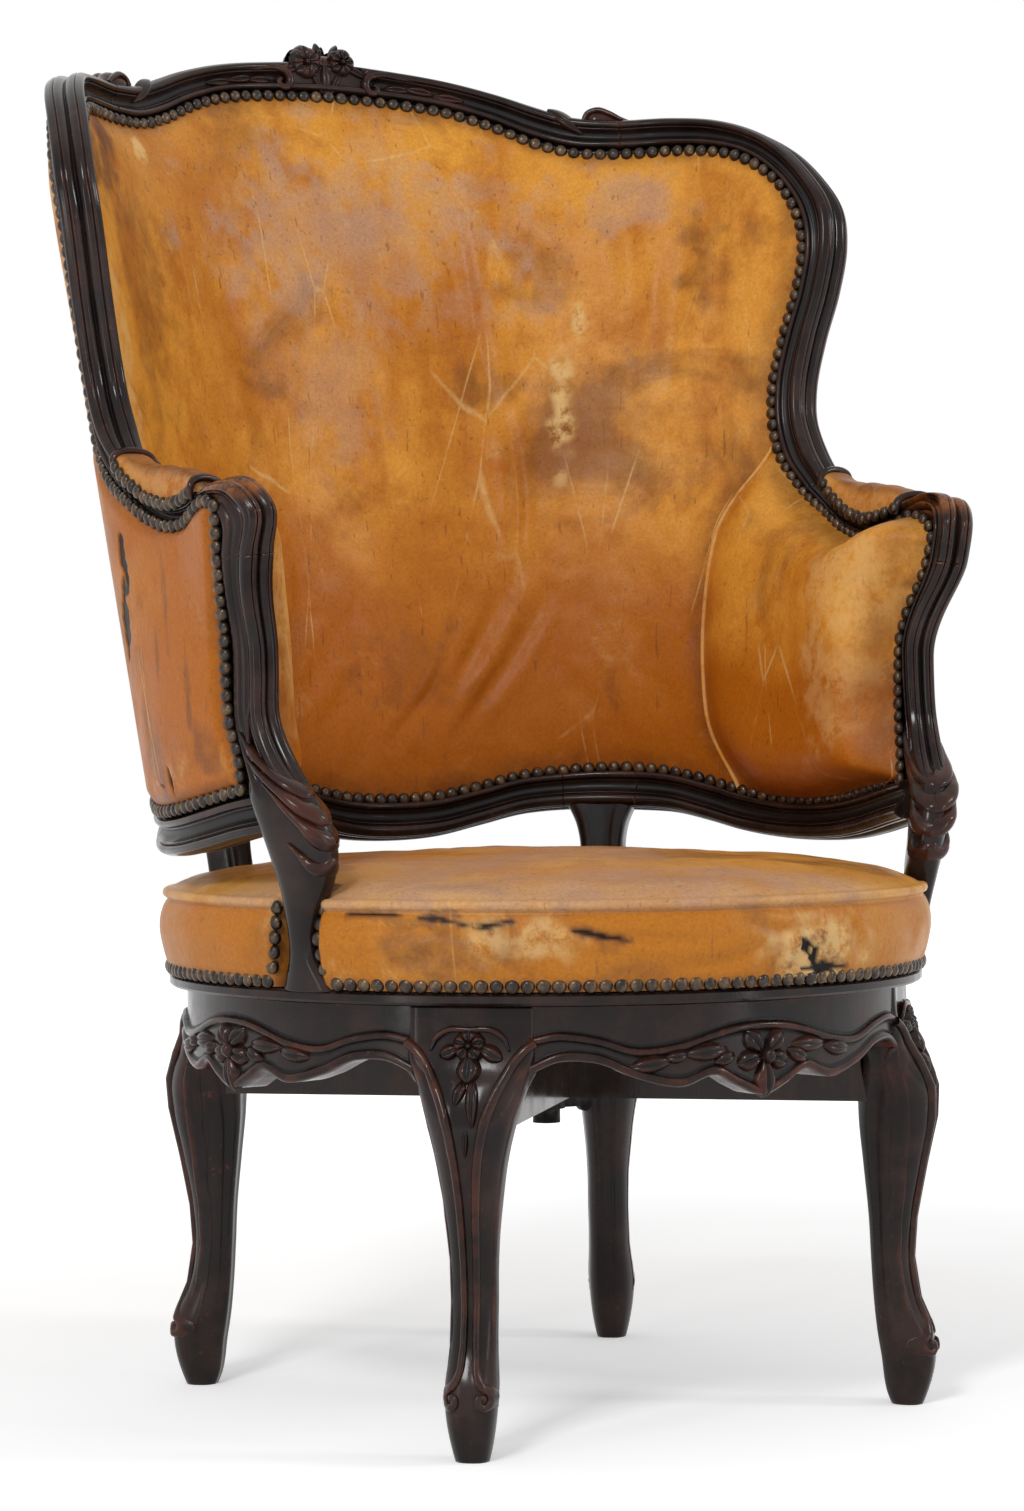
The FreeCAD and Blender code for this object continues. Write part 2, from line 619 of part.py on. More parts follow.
rail_bore = cylinder(SEAT_RAIL_INNER, SEAT_BAR_BOTTOM, SEAT_BAR_TOP)
for name, angle, upper in (("cross", 0.0, True), ("long", 90.0, False)):
    bar = half_lap(2.0 * SEAT_RAIL_INNER, BAR_WIDTH, SEAT_BAR_BOTTOM, SEAT_BAR_HEIGHT, upper)
    bar = bar.common(rail_bore).rotated(ORIGIN, UP, angle)
    export(bar.cut(flange_screws), "seat_bar_" + name)

straps = []
for layer in range(2):
    low = SEAT_RAIL_TOP + layer * (STRAP_THICK + 0.5 * SOFT_GAP)
    for index in range(STRAP_COUNT):
        place = STRAP_PITCH * (index - 0.5 * (STRAP_COUNT - 1))
        edge = abs(place) + 0.5 * STRAP_WIDTH
        reach = math.sqrt((SEAT_RAIL_INNER + STRAP_BEARING) ** 2 - edge ** 2)
        strap = Part.makeBox(2.0 * reach, STRAP_WIDTH, STRAP_THICK,
                             Vector(-reach, place - 0.5 * STRAP_WIDTH, low))
        straps.append(strap.rotated(ORIGIN, UP, 90.0 * layer).cut(clear_uprights))
export(Part.makeCompound(straps), "webbing")


def cushion_profile():
    """Half outline of the seat: border that swells out, piping bead and crown."""
    foot = Vector(BORDER_FOOT_RADIUS, 0, LIP_TOP + SOFT_GAP)
    inner_foot = Vector(SEAT_RABBET_RADIUS + SOFT_GAP, 0, foot.z)
    inner_top = Vector(inner_foot.x, 0, STRAP_TOP + SOFT_GAP)
    middle_low = Vector(0, 0, inner_top.z)
    welt = BORDER_FOOT_RADIUS + PIPING_SETBACK
    below = Vector(welt, 0, PIPING_HEIGHT - PIPING_RADIUS)
    above = Vector(welt - PIPING_RADIUS, 0, PIPING_HEIGHT + PIPING_RADIUS)
    swell = Vector(BORDER_FOOT_RADIUS + BORDER_SWELL, 0, 0.45 * foot.z + 0.55 * below.z)
    bead = Vector(welt + PIPING_RADIUS, 0, PIPING_HEIGHT)
    middle_top = Vector(0, 0, PIPING_HEIGHT + SEAT_CROWN)
    rise = middle_top.z - above.z
    sphere = (above.x ** 2 + rise ** 2) / (2.0 * rise)
    half_way = 0.5 * math.asin(above.x / sphere)
    crown = Vector(sphere * math.sin(half_way), 0, middle_top.z - sphere * (1.0 - math.cos(half_way)))
    edges = [
        Part.LineSegment(middle_low, inner_top),
        Part.LineSegment(inner_top, inner_foot),
        Part.LineSegment(inner_foot, foot),
        Part.Arc(foot, swell, below),
        Part.Arc(below, bead, above),
        Part.Arc(above, crown, middle_top),
        Part.LineSegment(middle_top, middle_low),
    ]
    return Part.Face(Part.Wire([edge.toShape() for edge in edges]))


cushion = cushion_profile().revolve(ORIGIN, UP, 360.0)
export(cushion.cut(clear_uprights), "seat_cushion")

# Upholstery of the back


def edge_curve(points, count):
    """Evenly spaced (angle, height) places on a smooth line through the given ones."""
    scale = math.radians(BACK_RADIUS)
    curve = Part.BSplineCurve()
    curve.interpolate([Vector(a * scale, z, 0) for a, z in points])
    return [(p.x / scale, p.y) for p in curve.toShape().discretize(Number=count)]


def patch(bottom, top, left, right):
    """A net of (angle, height) places between four edge lines that share their corners."""
    net = []
    for row in range(PANEL_ROWS):
        v = row / (PANEL_ROWS - 1.0)
        line = []
        for column in range(PANEL_COLUMNS):
            u = column / (PANEL_COLUMNS - 1.0)
            place = []
            for axis in (0, 1):
                across = (1.0 - u) * left[row][axis] + u * right[row][axis]
                along = (1.0 - v) * bottom[column][axis] + v * top[column][axis]
                low = (1.0 - u) * bottom[0][axis] + u * bottom[-1][axis]
                high = (1.0 - u) * top[0][axis] + u * top[-1][axis]
                place.append(across + along - (1.0 - v) * low - v * high)
            line.append((place[0], place[1], u, v))
        net.append(line)
    return net


def panel(net, near, far, crown):
    """A solid between two offsets from the back surface, the far face swelling by the crown."""
    faces = []
    surfaces = []
    for offset, swell in ((near, 0.0), (far, crown)):
        rows = []
        for line in net:
            row = []
            for angle, height, u, v in line:
                bulge = (1.0 - (2.0 * u - 1.0) ** 4) * (1.0 - (2.0 * v - 1.0) ** 4)
                row.append(back_point(angle, height, offset - swell * bulge))
            rows.append(row)
        surface = Part.BSplineSurface()
        surface.interpolate(rows)
        surfaces.append(surface)
        faces.append(surface.toShape())
    u0, u1, v0, v1 = surfaces[0].bounds()
    for value in (u0, u1):
        faces.append(Part.makeRuledSurface(surfaces[0].uIso(value).toShape(), surfaces[1].uIso(value).toShape()))
    for value in (v0, v1):
        faces.append(Part.makeRuledSurface(surfaces[0].vIso(value).toShape(), surfaces[1].vIso(value).toShape()))
    shell = Part.makeShell(faces)
    shell.sewShape()
    solid = Part.makeSolid(shell)
    if solid.Volume < 0:
        solid.reverse()
    return solid


def inset(line, toward_angle, toward_height):
    """Moves (angle, height) places in from the nailed line."""
    turn = math.degrees(EDGE_INSET / BACK_RADIUS)
    return [(a - toward_angle * turn, z + toward_height * EDGE_INSET) for a, z in line]


rail_nails = [(a, top) for a, top, low in LOWER_RAIL_LINE]
half_low = rail_nails[:SEAM_STATION + 1]
back_low = inset([(-a, z) for a, z in reversed(half_low[1:])] + half_low, 0.0, 1.0)
wing_nails = [(a, z) for a, z, c, d in WING_LINE]
crest_nails = [(a, z) for a, z, c, d in CREST_LINE]
half_top = crest_nails + wing_nails[1:CORNER + 1]
half_top = inset(half_top[:-1], 0.0, -1.0) + inset(half_top[-1:], 1.0, -1.0)
back_top = [(-a, z) for a, z in reversed(half_top[1:])] + half_top
wing_side = [(a, z) for a, z in reversed(wing_nails[CORNER + 1:WING_WAIST + 1])]
back_right = inset(SEAM_LINE[1:] + [SEAM_TOP] + wing_side, 1.0, 0.0)
back_right = [back_low[-1]] + back_right + [back_top[-1]]
back_left = [(-a, z) for a, z in back_right]
back_side = edge_curve(back_right, PANEL_ROWS)
back_net = patch(edge_curve(back_low, PANEL_COLUMNS), edge_curve(back_top, PANEL_COLUMNS),
                 edge_curve(back_left, PANEL_ROWS), back_side)
inside_near = -TONGUE_HALF - SOFT_GAP
inside_far = inside_near - EDGE_RISE
cover_near = TONGUE_HALF + COVER_LIFT
cover_far = cover_near + COVER_THICK
export(panel(back_net, inside_near, inside_far, BACK_CROWN), "inside_back")
export(panel(back_net, cover_near, cover_far, 0.0), "outside_back")

support_nails = [(station[1], station[0]) for station in reversed(SUPPORT_STATIONS)
                 if station[0] > SUPPORT_TONGUE_END]
front_edge = [rail_nails[-2]] + support_nails[1:] + [ARM_LINE[-1][:2], ARM_LINE[ARM_CORNER][:2]]


def arm_panel_net(shift):
    """Places of an arm panel, its front edge moved forward by the shift in degrees."""
    front = [(a + shift, z) for a, z in inset(front_edge, 1.0, 0.0)]
    front[0] = (front[0][0], front[0][1] + EDGE_INSET)
    front[-1] = (front[-1][0], front[-1][1] - EDGE_INSET)
    rear = [(a + PANEL_GAP, z) for a, z in back_side if z < SEAM_LINE[-1][1]]
    top = inset([line[:2] for line in WING_LINE[-2:-1] + ARM_LINE[:ELBOW_START]], 0.0, -1.0)
    top[0] = (rear[-1][0] + PANEL_CORNER, top[0][1])
    rear = rear + [top[0]]
    top = top + [front[-1]]
    low = [rear[0]] + inset(rail_nails[SEAM_STATION + 1:-2], 0.0, 1.0) + [front[0]]
    return patch(edge_curve(low, PANEL_COLUMNS), edge_curve(top, PANEL_COLUMNS),
                 edge_curve(rear, PANEL_ROWS), edge_curve(front, PANEL_ROWS))


arm_shift = math.degrees(SUPPORT_SHEAR * TONGUE_HALF / BACK_RADIUS)
inside_net = arm_panel_net(INSIDE_SHIFT * arm_shift)
outside_net = arm_panel_net(-OUTSIDE_SHIFT * arm_shift)
export_pair(panel(inside_net, inside_near, inside_far, ARM_CROWN), "inside_arm")
export_pair(panel(outside_net, cover_near, cover_far, 0.0), "outside_arm")


def pad_section(angle, crown):
    """Outline across the arm pad: flat below, low sides and a rounded top."""
    stations = [line[2:] for line in ARM_LINE[:ELBOW_START]]
    for (a0, z0), (a1, z1) in zip(stations, stations[1:]):
        if a0 <= angle <= a1:
            base = z0 + (z1 - z0) * (angle - a0) / (a1 - a0)
    outline = [(-1.0, 0.0), (-1.0, PAD_SIDE), (-0.6, 0.8 * crown), (0.0, crown), (0.6, 0.8 * crown),
               (1.0, PAD_SIDE), (1.0, 0.0)]
    return [back_point(angle, base + SOFT_GAP + z, PAD_HALF * side) for side, z in outline]


arm_pad = loft([pad_section(angle, crown) for angle, crown in PAD_STATIONS]).cut(arm)
export_pair(max(arm_pad.Solids, key=lambda solid: solid.Volume), "arm_pad")
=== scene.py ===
"""Swivel desk armchair: the carved frame, leather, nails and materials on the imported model.

Lengths are in millimetres until a mesh is made. A place on the back is an angle from the rear centre, towards
+X, and a height above the underside of the seat rail.
"""
import math
import bmesh
import bpy
import numpy as np
from mathutils import Matrix, Vector


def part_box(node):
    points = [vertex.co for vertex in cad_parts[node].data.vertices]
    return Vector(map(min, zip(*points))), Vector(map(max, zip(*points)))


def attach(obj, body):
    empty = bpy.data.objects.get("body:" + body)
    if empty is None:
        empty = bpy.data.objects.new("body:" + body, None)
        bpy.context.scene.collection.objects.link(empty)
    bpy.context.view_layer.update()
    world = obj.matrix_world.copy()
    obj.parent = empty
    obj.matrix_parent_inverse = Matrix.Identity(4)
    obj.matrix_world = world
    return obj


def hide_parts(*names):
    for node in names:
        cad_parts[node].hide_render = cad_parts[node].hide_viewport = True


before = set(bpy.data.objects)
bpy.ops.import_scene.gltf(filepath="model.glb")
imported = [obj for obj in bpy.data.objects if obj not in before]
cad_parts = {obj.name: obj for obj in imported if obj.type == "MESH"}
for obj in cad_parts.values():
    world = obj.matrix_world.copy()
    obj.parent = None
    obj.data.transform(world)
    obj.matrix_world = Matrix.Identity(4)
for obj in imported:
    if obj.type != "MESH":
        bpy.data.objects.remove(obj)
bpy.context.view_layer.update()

# Base
BASE_TURN = 6.3
BASE_TOP = 331
BASE_RADIUS = 286
BASE_WALL = 26
LEG_HALF_ANGLE = 9
LEG_BLOCK = (268, 300)     # heights between which the leg turns into its square block
# height, inner and outer face from the base radius, width
LEG_STATIONS = [
    (0, -10, 14, 25), (6, -12.5, 16.5, 28), (40, -18, 24, 38), (52, -20, 23, 39), (83, -23.5, 10, 36),
    (115, -25.5, 5, 36), (146, -27, 7, 37), (190, -31, 15, 45), (225, -34, 22, 56), (250, -34, 23, 69),
    (272, -31, 16, 84), (288, -27, 7, 94), (305, -26, 2, 94), (331, -26, 0, 94),
]
# share of the half span, lower edge and upper edge of the carving below the base top
APRON_STATIONS = [
    (0, 70, 15), (0.11, 63, 16), (0.22, 53.5, 20), (0.38, 61, 28), (0.56, 54, 31), (0.74, 41.5, 22),
    (0.88, 41, 19), (1, 50, 23),
]

# Flared surface of the back
SEAT_BOTTOM = 332
BACK_BASE = 123
BACK_RADIUS = 294
BACK_FLARE = 0.128
BACK_RAKE = 0.068
DEGREE = 5.4               # length of a degree on the back
CREST_DEGREE = 6.6         # length of a degree along the crest
PLACE_SCALE = np.array([DEGREE, 1])                       # lengths in rows of (angle, height)
FRAME_SCALE = np.array([DEGREE, 1, DEGREE, 1, 0, 0, 0])   # lengths in the rows of a frame member

# Frame lines: nailed edge (angle, height), then free edge (angle, height)
CREST_LINE = [
    (0, 764, 0, 794), (9.5, 761, 9, 790.5), (17.5, 754, 17.5, 782.5), (24, 741.5, 24.5, 771),
    (30, 726, 30, 759), (35.5, 717, 35, 749), (42.3, 714.5, 42.3, 744),
]
WING_LINE = [
    (42.3, 714.5, 42.3, 744), (50, 714.5, 50, 743.5), (56, 711.5, 57, 738), (61, 704.5, 63, 726),
    (65, 692, 68.5, 707), (68.5, 674, 73, 682), (71.2, 649, 76.5, 653), (72.6, 617, 77.5, 618),
    (71.8, 580, 76.5, 578), (69.6, 539, 74.4, 536), (68, 496, 73.1, 493), (68.4, 459, 73.6, 465),
    (70.6, 428, 76, 438), (75.5, 400, 79.5, 415),
]
ARM_LINE = [
    (75.5, 400, 79.5, 415), (81, 383, 83.5, 397), (87.5, 365.5, 89.5, 380), (94.5, 356.5, 95.5, 373),
    (99.5, 358.5, 100.5, 375.5), (104, 368, 105, 382), (107, 371.5, 109.5, 387), (110, 367.5, 114.5, 383),
    (111, 356, 117.5, 366), (110.2, 330, 116.2, 330),
]
ELBOW = 6                  # where the arm line begins to turn down into the support
FRAME_HALF = 16            # half thickness of crest and wings
ARM_HALF = 13.5
RAIL_HALF = 17
# height, rear angle, front angle, extra offset outward, half thickness
SUPPORT_STATIONS = [
    (330, 110.2, 116.2, 0, 13.5), (288, 108, 113.2, 0, 12.5), (243, 107.2, 112.5, 0, 12),
    (208, 107.3, 112.6, 2, 12), (179, 108.7, 115.2, 4, 13), (153, 109.8, 119.5, 8, 14),
    (128, 111.4, 122, 8, 15), (108, 112.4, 122.2, 7, 15), (86, 113, 120.6, 5, 14), (63, 113, 118, 4, 12),
    (38, 112.6, 117, 3, 11), (9, 110.5, 119.5, 3, 12),
]
SUPPORT_SHEAR = 0.55
SUPPORT_ANGLE = 114.8      # middle of the support where it passes the seat
SUPPORT_FOOT = 115         # middle of its foot on the rail
NAILED_ABOVE = 150
# angle, nailed edge, lower edge
LOWER_RAIL_LINE = [
    (0, 139, 105), (9, 141.5, 108), (17, 150, 117.5), (24, 158.5, 126.5), (31, 162.5, 130),
    (37.5, 165, 130.5), (44, 165, 129.5), (50, 162.5, 127.5), (57, 155, 119.5), (64, 146, 111),
    (71, 140, 106.5), (79, 138, 105), (88, 141, 107), (97, 148, 113), (105, 155, 120), (112, 160, 125),
]
RAIL_END = 112
POST_START = 31
POST_END = 44
POST_ANGLE = 37.5
# height and width of the rear posts
POST_STATIONS = [(9, 39), (40, 39), (74, 39), (104, 40), (116, 45), (127, 54), (138, 66)]
POST_HALF = 14
SEAM_LINE = [
    (64, 146), (60.5, 188), (58.6, 243), (58.6, 308), (60.6, 368), (64, 406), (66.4, 425), (68.5, 443),
]
# angle, rise of the crown of the arm pad
PAD_STATIONS = [(80.6, 7), (82, 12), (85, 17), (90, 24.5), (96.5, 28), (101, 21), (104, 11)]
PAD_HALF = 15.5
PAD_DROP = 1               # edge of the pad below the free edge of the arm

# Frame moulding across half its thickness: u from the leather to the free edge, v from the middle
MOULDING = [
    (-10, -7), (-3, -7.4), (3.4, -7.8), (3.9, -9.5), (4.2, -12), (5.2, -14.2), (7, -15), (8.8, -14.4),
    (9.8, -12.6), (10.1, -11.2), (10.8, -11), (12.2, -9.7), (14.6, -8.9), (17.2, -9.7), (19.2, -11.9),
    (20.2, -14), (20.6, -14.8), (21.1, -13.9), (21.4, -12.7), (22, -13.4), (22.9, -15.3), (25, -16.2),
    (27.4, -15.4), (29, -12.9), (30, -10.8), (30.1, -9.9), (28.6, -9), (30.2, -8.1), (30.5, -6), (29.4, -3.2),
    (27.7, -1.3), (26.2, -0.4), (25.6, 0),
]
MOULDING_WIDTH = 30
MOULDING_HALF = 16
CREST_GROUND = 10.5        # half thickness of the plain ground behind the crest flower
LEAF_SINK = 3.5            # rim of a carved leaf below its ground

# Seat leather: radius and height from its nailed foot over the piping to the middle
SEAT_PROFILE = [
    (298, 10), (301.5, 18), (305.5, 32), (307.5, 46), (306, 58), (302.5, 66), (300.5, 68.5), (303, 69.5),
    (305, 72), (304.5, 75), (301.5, 76.8), (298.5, 76.6), (294, 79), (280, 84.5), (240, 92), (180, 98),
    (100, 102), (30, 103), (0, 103),
]
SEAT_ROWS = 150
SEAT_COLUMNS = 640
SEAT_RADIUS = 305

# Nails and straps
NAIL_RADIUS = 5.5
NAIL_PITCH = 11.3
# radius and rise of the nail dome in nail radii, and its painted edge
NAIL_DOME = np.array([(1, -0.15), (1, 0.16), (0.90, 0.44), (0.66, 0.66), (0.34, 0.78), (0, 0.82)])
NAIL_RIDGE = (-1, -0.6, 0, 0.3, 0.4, 0.4)
INSIDE_EDGE = -11.5        # offset of the leather where it is nailed inside
OUTSIDE_EDGE = 12          # the same outside
BACK_SWELL = 27            # how far the padding swells off the nailed edge
ARM_SWELL = 52
SEAM_SWELL = 21
OUTSIDE_SWELL = 6
WELT_RADIUS = 2.3
RAIL_NAIL_RADIUS = 299
RAIL_NAIL_HEIGHT = 14.5
RAIL_NAIL_GAP = 4.8        # angle kept free of nails to each side of a post
STRAP_PLACES = (-177, -59, 59, 177)
STRAP_WIDTH = 58
STRAP_REACH = 274
STRAP_MIDDLE = 2.3         # middle of the weave above the underside of the webbing solid

# Stage, light and camera
AMBIENT = 0.50             # world light on the object
FLOOR_GLOW = 0.33          # added to the floor as the camera sees it, near the object
FAR_GLOW = 0.75            # the same far from it
FLOOR_HALF = 9.0
LIGHT_TARGET = Vector((0.0, 0.0, 0.6))
CAMERA_TURN = -27.58029824
CAMERA_DISTANCE = 3.08421769
CAMERA_HEIGHT = 0.5391686
CAMERA_PITCH = 0.5263
CAMERA_YAW = -0.47353
CAMERA_ROLL = -0.43232
FOCAL_PIXELS = 3852.35959
PICTURE_HEIGHT = 1511


# Geometry helpers


def ease(value, limits):
    """Eases from 0 to 1 as a value passes between two limits."""
    low, high = limits
    share = np.clip((np.asarray(value, float) - low) / (high - low), 0, 1)
    return share * share * (3 - 2 * share)


def powered(wave, power):
    """A power of a wave that keeps its sign."""
    return np.sign(wave) * np.abs(wave) ** power


def unit(vectors):
    return vectors / np.maximum(np.linalg.norm(vectors, axis=-1, keepdims=True), 1e-9)


def outward(angle, slope=0.0):
    """Directions away from the middle of the chair at angles from the rear centre."""
    turn = np.radians(angle)
    return np.stack([np.sin(turn), np.cos(turn), np.full_like(turn, slope)], -1)


def back_point(angle, height, offset=0.0):
    """Points on the flared surface of the back, moved outward by the offset."""
    angle, height, offset = np.broadcast_arrays(np.asarray(angle, float), height, offset)
    side = np.abs(angle)
    tuck = 6 * ease(side, (45, 65)) * ease(height, (628, 708))
    pinch = 12 * ease(side, (70, 92)) * ease(height, (168, 348)) * (1 - ease(height, (428, 568)))
    flare = 30 * ease(side, (96, 118)) * (0.25 + 0.75 * ease(height, (258, 338)))
    rise = height - BACK_BASE
    radius = BACK_RADIUS + BACK_FLARE * rise - tuck - pinch + flare + offset
    turn = np.radians(angle)
    y = BACK_RAKE * rise + radius * np.cos(turn)
    return np.stack([radius * np.sin(turn), y, SEAT_BOTTOM + height], -1)


def spline(points, count, scale=1.0):
    """Evenly spaced rows on a smooth line through the given rows."""
    points = np.asarray(points, float)
    steps = np.linalg.norm(np.diff(points, axis=0) * scale, axis=1)
    slopes = np.diff(points, axis=0) / steps[:, None]
    tangents = np.empty_like(points)
    tangents[0] = slopes[0]
    tangents[-1] = slopes[-1]
    before = steps[:-1, None]
    after = steps[1:, None]
    tangents[1:-1] = (slopes[:-1] * after + slopes[1:] * before) / (before + after)
    t = np.linspace(0, 1, 24)[:, None]
    fine = []
    for index, step in enumerate(steps):
        p, q = points[index], points[index + 1]
        m, n = tangents[index] * step, tangents[index + 1] * step
        fine.append((2 * t**3 - 3 * t**2 + 1) * p + (t**3 - 2 * t**2 + t) * m
                    + (3 * t**2 - 2 * t**3) * q + (t**3 - t**2) * n)
    fine = np.concatenate(fine)
    run = np.concatenate([[0], np.cumsum(np.linalg.norm(np.diff(fine, axis=0) * scale, axis=1))])
    places = np.linspace(0, run[-1], count)
    return np.stack([np.interp(places, run, column) for column in fine.T], -1)


def line_length(points, scale=1.0):
    return np.linalg.norm(np.diff(np.asarray(points, float), axis=0) * scale, axis=1).sum()


def symmetric(half, turned=(0,)):
    """A whole line from the half that starts at its middle; turned columns change sign beyond it."""
    half = np.asarray(half, float)
    image = half[:0:-1].copy()
    image[:, list(turned)] *= -1
    return np.concatenate([image, half])


def sided(path, side):
    """A path on the +X side (1) or its mirror image (-1)."""
    return [(side * x, *rest) for x, *rest in path]


def cloud(x, y, size, seed):
    """Smooth random values from -1 to 1 with blotches of the given size."""
    lattice = np.random.default_rng(seed).uniform(-1.0, 1.0, (64, 64))
    x, y = np.broadcast_arrays(np.asarray(x, float) / size, np.asarray(y, float) / size)
    column, row = np.floor(x).astype(int), np.floor(y).astype(int)
    a, b = ease(x - column, (0, 1)), ease(y - row, (0, 1))

    def corner(i, j):
        return lattice[(row + j) % 64, (column + i) % 64]

    low = corner(0, 0) * (1 - a) + corner(1, 0) * a
    high = corner(0, 1) * (1 - a) + corner(1, 1) * a
    return low * (1 - b) + high * b


def distance_to(line, x, y):
    """Distance of points to a line of straight runs, and the share of the line where each is nearest."""
    line = np.asarray(line, float)
    best = np.full(np.shape(x), 1e9)
    share = np.zeros(np.shape(x))
    for index, (p, q) in enumerate(zip(line, line[1:])):
        step = q - p
        t = np.clip(((x - p[0]) * step[0] + (y - p[1]) * step[1]) / (step @ step), 0, 1)
        gap = np.hypot(x - p[0] - t * step[0], y - p[1] - t * step[1])
        share = np.where(gap < best, (index + t) / (len(line) - 1), share)
        best = np.minimum(best, gap)
    return best, share


def shifted(grid, axis, step, closes):
    """The net moved along an axis: its columns (axis 1) may close round, else the edge is repeated."""
    if closes and axis == 1:
        return np.roll(grid, -step, axis)
    index = np.clip(np.arange(grid.shape[axis]) + step, 0, grid.shape[axis] - 1)
    return np.take(grid, index, axis)


def ridges(points, closes):
    """How far each point stands out from its neighbours, about -1 in grooves and 1 on edges."""
    along = shifted(points, 0, 1, closes) - shifted(points, 0, -1, closes)
    across = shifted(points, 1, 1, closes) - shifted(points, 1, -1, closes)
    around = sum(shifted(points, axis, step, closes) for axis in (0, 1) for step in (-2, 2))
    sag = ((points - around / 4) * unit(np.cross(along, across))).sum(-1)
    return np.clip(sag * 2.2, -1, 1)


def quads(rows, columns, closes):
    """Four-sided faces of a net of points."""
    r, c = np.meshgrid(np.arange(rows - 1), np.arange(columns if closes else columns - 1), indexing="ij")
    low, high = r * columns, (r + 1) * columns
    after = (c + 1) % columns
    return np.stack([low + c, high + c, high + after, low + after], -1).reshape(-1, 4)


def sheet(points, closes=False, **paint):
    """A part of a mesh: vertices, faces and painted values."""
    points = np.asarray(points, float)
    values = {name: np.broadcast_to(value, points.shape[:2]).reshape(-1) for name, value in paint.items()}
    values.setdefault("ridge", ridges(points, closes).reshape(-1))
    return points.reshape(-1, 3), quads(*points.shape[:2], closes), values


def inward(points, **paint):
    """A sheet that faces the other way."""
    return sheet(points[:, ::-1], **{name: value[:, ::-1] for name, value in paint.items()})


def ended(points, middle_of, shares):
    """Closes both ends of a net with rows that shrink to the middle of the end."""
    first, last = ([middle_of(end) + (end - middle_of(end)) * share for share in shares]
                   for end in (points[:1], points[-1:]))
    return np.concatenate(first + [points] + last[::-1])


def capped(points):
    return ended(points, lambda end: end.mean(axis=1, keepdims=True), (0, 0.6, 0.985))


def tube(points):
    return sheet(capped(points), True)


def mirror(part):
    points, faces, values = part
    return points * (-1, 1, 1), faces[:, ::-1], values


def piece(name, parts, material, body, nodes=()):
    """Makes one object from mesh parts, riding on a body."""
    starts = np.cumsum([0] + [len(part[0]) for part in parts])
    points = np.concatenate([part[0] for part in parts])
    faces = np.concatenate([part[1] + start for part, start in zip(parts, starts)])
    mesh = bpy.data.meshes.new(name)
    mesh.vertices.add(len(points))
    mesh.vertices.foreach_set("co", (points * 0.001).ravel())
    mesh.loops.add(faces.size)
    mesh.loops.foreach_set("vertex_index", faces.ravel())
    mesh.polygons.add(len(faces))
    mesh.polygons.foreach_set("loop_start", np.arange(0, faces.size, 4))
    mesh.polygons.foreach_set("use_smooth", np.ones(len(faces), bool))
    mesh.update(calc_edges=True)
    for key in sorted({key for part in parts for key in part[2]}):
        layer = mesh.attributes.new(key, "FLOAT", "POINT")
        values = [part[2].get(key, np.zeros(len(part[0]))) for part in parts]
        layer.data.foreach_set("value", np.concatenate(values))
    shell = bmesh.new()
    shell.from_mesh(mesh)
    bmesh.ops.remove_doubles(shell, verts=shell.verts, dist=1e-7)
    shell.to_mesh(mesh)
    shell.free()
    mesh.materials.append(material)
    result = bpy.data.objects.new(name, mesh)
    bpy.context.scene.collection.objects.link(result)
    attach(result, body)
    if nodes:
        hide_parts(*nodes)


# Materials


